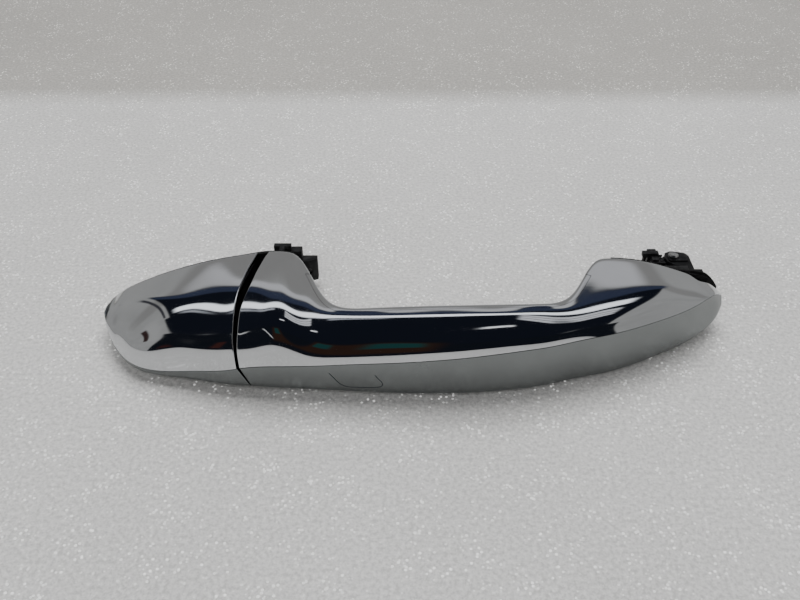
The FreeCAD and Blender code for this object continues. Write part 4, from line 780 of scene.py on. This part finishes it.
def make_floor():
    n = 24
    size = 1.6
    me = bpy.data.meshes.new("floor")
    bm = bmesh.new()
    bmesh.ops.create_grid(bm, x_segments=n, y_segments=n, size=size)
    bm.to_mesh(me)
    bm.free()
    ob = bpy.data.objects.new("floor", me)
    ob.location = (0.064, 0.2, floor_z)
    scene.collection.objects.link(ob)
    M = Mat("foam_floor")
    cloud = M.noise(9.0, 4.0, 0.55)
    cells = M.node("ShaderNodeTexVoronoi")
    cells.inputs["Scale"].default_value = 420.0
    M.link(M.tc.outputs["Object"], cells.inputs["Vector"])
    fine = M.noise(650.0, 4.0, 0.7)
    base = M.ramp(cloud, [(0.25, (0.70, 0.692, 0.676)), (0.75, (0.78, 0.772, 0.756))])
    sp = M.ramp(fine, [(0.38, grey(0.80)), (0.50, grey(1.0)), (0.60, grey(1.14)), (0.70, grey(1.3))])
    mix = M.node("ShaderNodeMix", data_type="RGBA", blend_type="MULTIPLY")
    mix.inputs["Factor"].default_value = 1.0
    M.link(base, mix.inputs[6])
    M.link(sp, mix.inputs[7])
    # pearly flecks; they also glow, which is a painted glint
    fleck = M.node("ShaderNodeTexVoronoi")
    fleck.inputs["Scale"].default_value = 520.0
    M.link(M.tc.outputs["Object"], fleck.inputs["Vector"])
    spot = M.ramp(fleck.outputs["Distance"], [(0.16, grey(1.0)), (0.30, grey(0.0))])
    where = M.ramp(M.noise(70.0, 4.0, 0.75), [(0.47, grey(0.0)), (0.57, grey(1.0))])
    both = M.node("ShaderNodeMath", operation="MULTIPLY")
    M.link(spot, both.inputs[0])
    M.link(where, both.inputs[1])
    lit = M.node("ShaderNodeMix", data_type="RGBA")
    M.link(both.outputs[0], lit.inputs["Factor"])
    M.link(mix.outputs[2], lit.inputs[6])
    lit.inputs[7].default_value = (1.0, 1.0, 0.98, 1.0)
    # painted glint: the flecks give off light of their own
    painted_glint = M.node("ShaderNodeMath", operation="MULTIPLY")
    M.link(both.outputs[0], painted_glint.inputs[0])
    painted_glint.inputs[1].default_value = 0.55
    M.b.inputs["Emission Color"].default_value = (1.0, 1.0, 0.98, 1.0)
    M.link(painted_glint.outputs[0], M.b.inputs["Emission Strength"])
    # painted shade: the floor beyond FAR_Y is darkened where the foam turns up away from the light
    axis = M.node("ShaderNodeSeparateXYZ")
    M.link(M.tc.outputs["Object"], axis.inputs[0])
    far = M.node("ShaderNodeMapRange")
    far.inputs["From Min"].default_value = FAR_Y - 0.010
    far.inputs["From Max"].default_value = FAR_Y + 0.012
    M.link(axis.outputs[1], far.inputs["Value"])
    far_painted_shade = M.node("ShaderNodeMix", data_type="RGBA", blend_type="MULTIPLY")
    M.link(far.outputs["Result"], far_painted_shade.inputs["Factor"])
    M.link(lit.outputs[2], far_painted_shade.inputs[6])
    far_painted_shade.inputs[7].default_value = (0.64, 0.625, 0.60, 1.0)
    M.link(far_painted_shade.outputs[2], M.b.inputs["Base Color"])
    M.b.inputs["Roughness"].default_value = 0.55
    M.bump([(cells.outputs["Distance"], 0.0004, 0.25), (fine, 0.0004, 0.3)])
    me.materials.append(M.m)
    return ob


floor = make_floor()

# ---------------------------------------------------------------- surroundings: a dark room with bright strips overhead
world = bpy.data.worlds.new("room")
scene.world = world
world.use_nodes = True
wt = world.node_tree
wt.nodes.clear()


def wn(kind, **p):
    n = wt.nodes.new(kind)
    for k, v in p.items():
        setattr(n, k, v)
    return n


def wmath(op, a, b=None, c=None):
    n = wn("ShaderNodeMath", operation=op)
    for i, x in enumerate((a, b, c)):
        if x is None:
            continue
        if isinstance(x, (int, float)):
            n.inputs[i].default_value = x
        else:
            wt.links.new(x, n.inputs[i])
    return n.outputs[0]


wtc = wn("ShaderNodeTexCoord")
sep = wn("ShaderNodeSeparateXYZ")
wt.links.new(wtc.outputs["Generated"], sep.inputs[0])
dx, dy, dz = sep.outputs[0], sep.outputs[1], sep.outputs[2]
# theta: 0 at the horizon on the camera's side, 90 overhead, 180 at the far horizon
theta = wmath("MULTIPLY", wmath("ARCTAN2", dz, wmath("MULTIPLY", dy, -1.0)), 180.0 / math.pi)
rho = wmath("MULTIPLY", wmath("ARCSINE", dx), 180.0 / math.pi)


def step_up(x, a, soft):
    """0 below a, 1 above, over a width of soft."""
    n = wn("ShaderNodeMapRange", interpolation_type="SMOOTHSTEP")
    wt.links.new(x, n.inputs["Value"])
    n.inputs["From Min"].default_value = a - soft / 2
    n.inputs["From Max"].default_value = a + soft / 2
    return n.outputs["Result"]


def window(x, a, b, soft):
    return wmath("MULTIPLY", step_up(x, a, soft), wmath("SUBTRACT", 1.0, step_up(x, b, soft)))


def patch(t0, t1, r0, r1, ts=2.0, rs=6.0, slant=0.0):
    th = theta if not slant else wmath("ADD", theta, wmath("MULTIPLY", rho, slant))
    return wmath("MULTIPLY", window(th, t0, t1, ts), window(rho, r0, r1, rs))


def mix(fac, a, b):
    n = wn("ShaderNodeMix", data_type="RGBA")
    wt.links.new(fac, n.inputs["Factor"])
    for i, x in ((6, a), (7, b)):
        if isinstance(x, tuple):
            n.inputs[i].default_value = (*x, 1.0)
        else:
            wt.links.new(x, n.inputs[i])
    return n.outputs[2]


noise = wn("ShaderNodeTexNoise")
noise.inputs["Scale"].default_value = 5.0
noise.inputs["Detail"].default_value = 4.0
wt.links.new(wtc.outputs["Generated"], noise.inputs["Vector"])

# the room's far side opens out towards left and right: theta there, straightened
wide = wmath("ABSOLUTE", rho)
bent = wmath("SUBTRACT", theta, wmath("MULTIPLY", wmath("POWER", wide, 3.0), 3.5e-4))


def strip(t0, t1, r0, r1, ts=2.0, rs=6.0):
    return wmath("MULTIPLY", window(bent, t0, t1, ts), window(rho, r0, r1, rs))


colr = mix(noise.outputs["Fac"], (0.33, 0.33, 0.325), (0.48, 0.48, 0.475))
# far wall low down is a little darker, and a band far out to the left is an even pale grey
colr = mix(patch(141, 154, -60, 60, 6, 20), colr, (0.31, 0.305, 0.30))
colr = mix(patch(40, 120, -60, -51, 20, 5), colr, (0.46, 0.46, 0.455))
# dark room overhead and behind the camera
right_side = wmath("SUBTRACT", 1.0, step_up(wmath("ADD", rho, wmath("MULTIPLY", theta, 0.065)), 44.0, 1.6))
dark = wmath("MULTIPLY", wmath("MULTIPLY", step_up(rho, -43.3, 1.4), right_side), wmath("MULTIPLY", step_up(theta, -4.0, 2.0), wmath("SUBTRACT", 1.0, step_up(bent, 134.0, 2.2))))
colr = mix(dark, colr, (0.009, 0.011, 0.018))
colr = mix(patch(-4, 113, -46.6, 0, 3.0, 1.6), colr, (0.009, 0.011, 0.018))
colr = mix(patch(-4, 66, -49.2, 0, 3.0, 1.6), colr, (0.009, 0.011, 0.016))
colr = mix(patch(-4, 50, 0, 46.5, 3.0, 1.6), colr, (0.009, 0.011, 0.016))
# thin dark post to the left of it, and a dull red cloth low down beside it
colr = mix(patch(116, 164, -46.9, -45.4, 4.0, 0.8), colr, (0.05, 0.05, 0.06))
colr = mix(patch(46, 112, -64, -59, 8.0, 2.0), colr, (0.045, 0.026, 0.025))
colr = mix(patch(4, 26, -43, -38.5, 4.0, 2.0), colr, (0.055, 0.020, 0.018))
# dark blue strip at its far edge
colr = mix(strip(127.8, 133.5, -43, 36, 2.0, 4.0), colr, (0.040, 0.050, 0.090))
# pale strip beyond it
colr = mix(strip(134.6, 138.8, -30, 26, 1.6, 6.0), colr, (0.66, 0.66, 0.68))
# bright lamp strip
colr = mix(patch(118.0, 125.0, -39, 28, 2.0, 5.0), colr, (1.9, 1.95, 2.05))
colr = mix(patch(113.5, 116.0, -36, -8, 1.5, 6.0), colr, (0.55, 0.57, 0.62))
# streaks of a lamp to the right
for t0 in (109.0, 113.5, 118.0):
    colr = mix(patch(t0, t0 + 3.6, 15, 28, 1.4, 4.0, 0.35), colr, (0.85, 0.86, 0.90))
colr = mix(patch(91.5, 93.8, 4, 14, 1.0, 3.0), colr, (1.6, 1.6, 1.65))
# thin line to the left
colr = mix(patch(-21.2, -17.6, -38, -18, 1.4, 3.0, 2.0), colr, (0.9, 0.9, 0.9))
# warm shelf and a teal panel behind the camera
colr = mix(patch(10, 60, -18, -1, 10.0, 6.0), colr, (0.034, 0.018, 0.013))
colr = mix(patch(36, 58, -13, -4, 6.0, 3.0), colr, (0.014, 0.056, 0.054))
bg = wn("ShaderNodeBackground")
wt.links.new(colr, bg.inputs["Color"])
bg.inputs["Strength"].default_value = 1.0
wo = wn("ShaderNodeOutputWorld")
wt.links.new(bg.outputs[0], wo.inputs["Surface"])

# ---------------------------------------------------------------- lights on the floor
def area(name, loc, target, size, power, color=(1, 1, 1), size_y=None):
    d = bpy.data.lights.new(name, "AREA")
    d.energy = power
    d.color = color
    d.shape = "RECTANGLE"
    d.size = size
    d.size_y = size_y or size
    o = bpy.data.objects.new(name, d)
    o.location = loc
    o.rotation_euler = (Vector(target) - Vector(loc)).to_track_quat("-Z", "Y").to_euler()
    scene.collection.objects.link(o)
    o.visible_glossy = False
    o.visible_camera = False
    return o


area("overhead", (0.1, 0.45, 1.2), (0.06, 0.0, 0.0), 0.9, 15.0)
area("front_fill", (-0.2, -0.9, 0.9), (0.06, 0.0, 0.0), 0.8, 5.0)
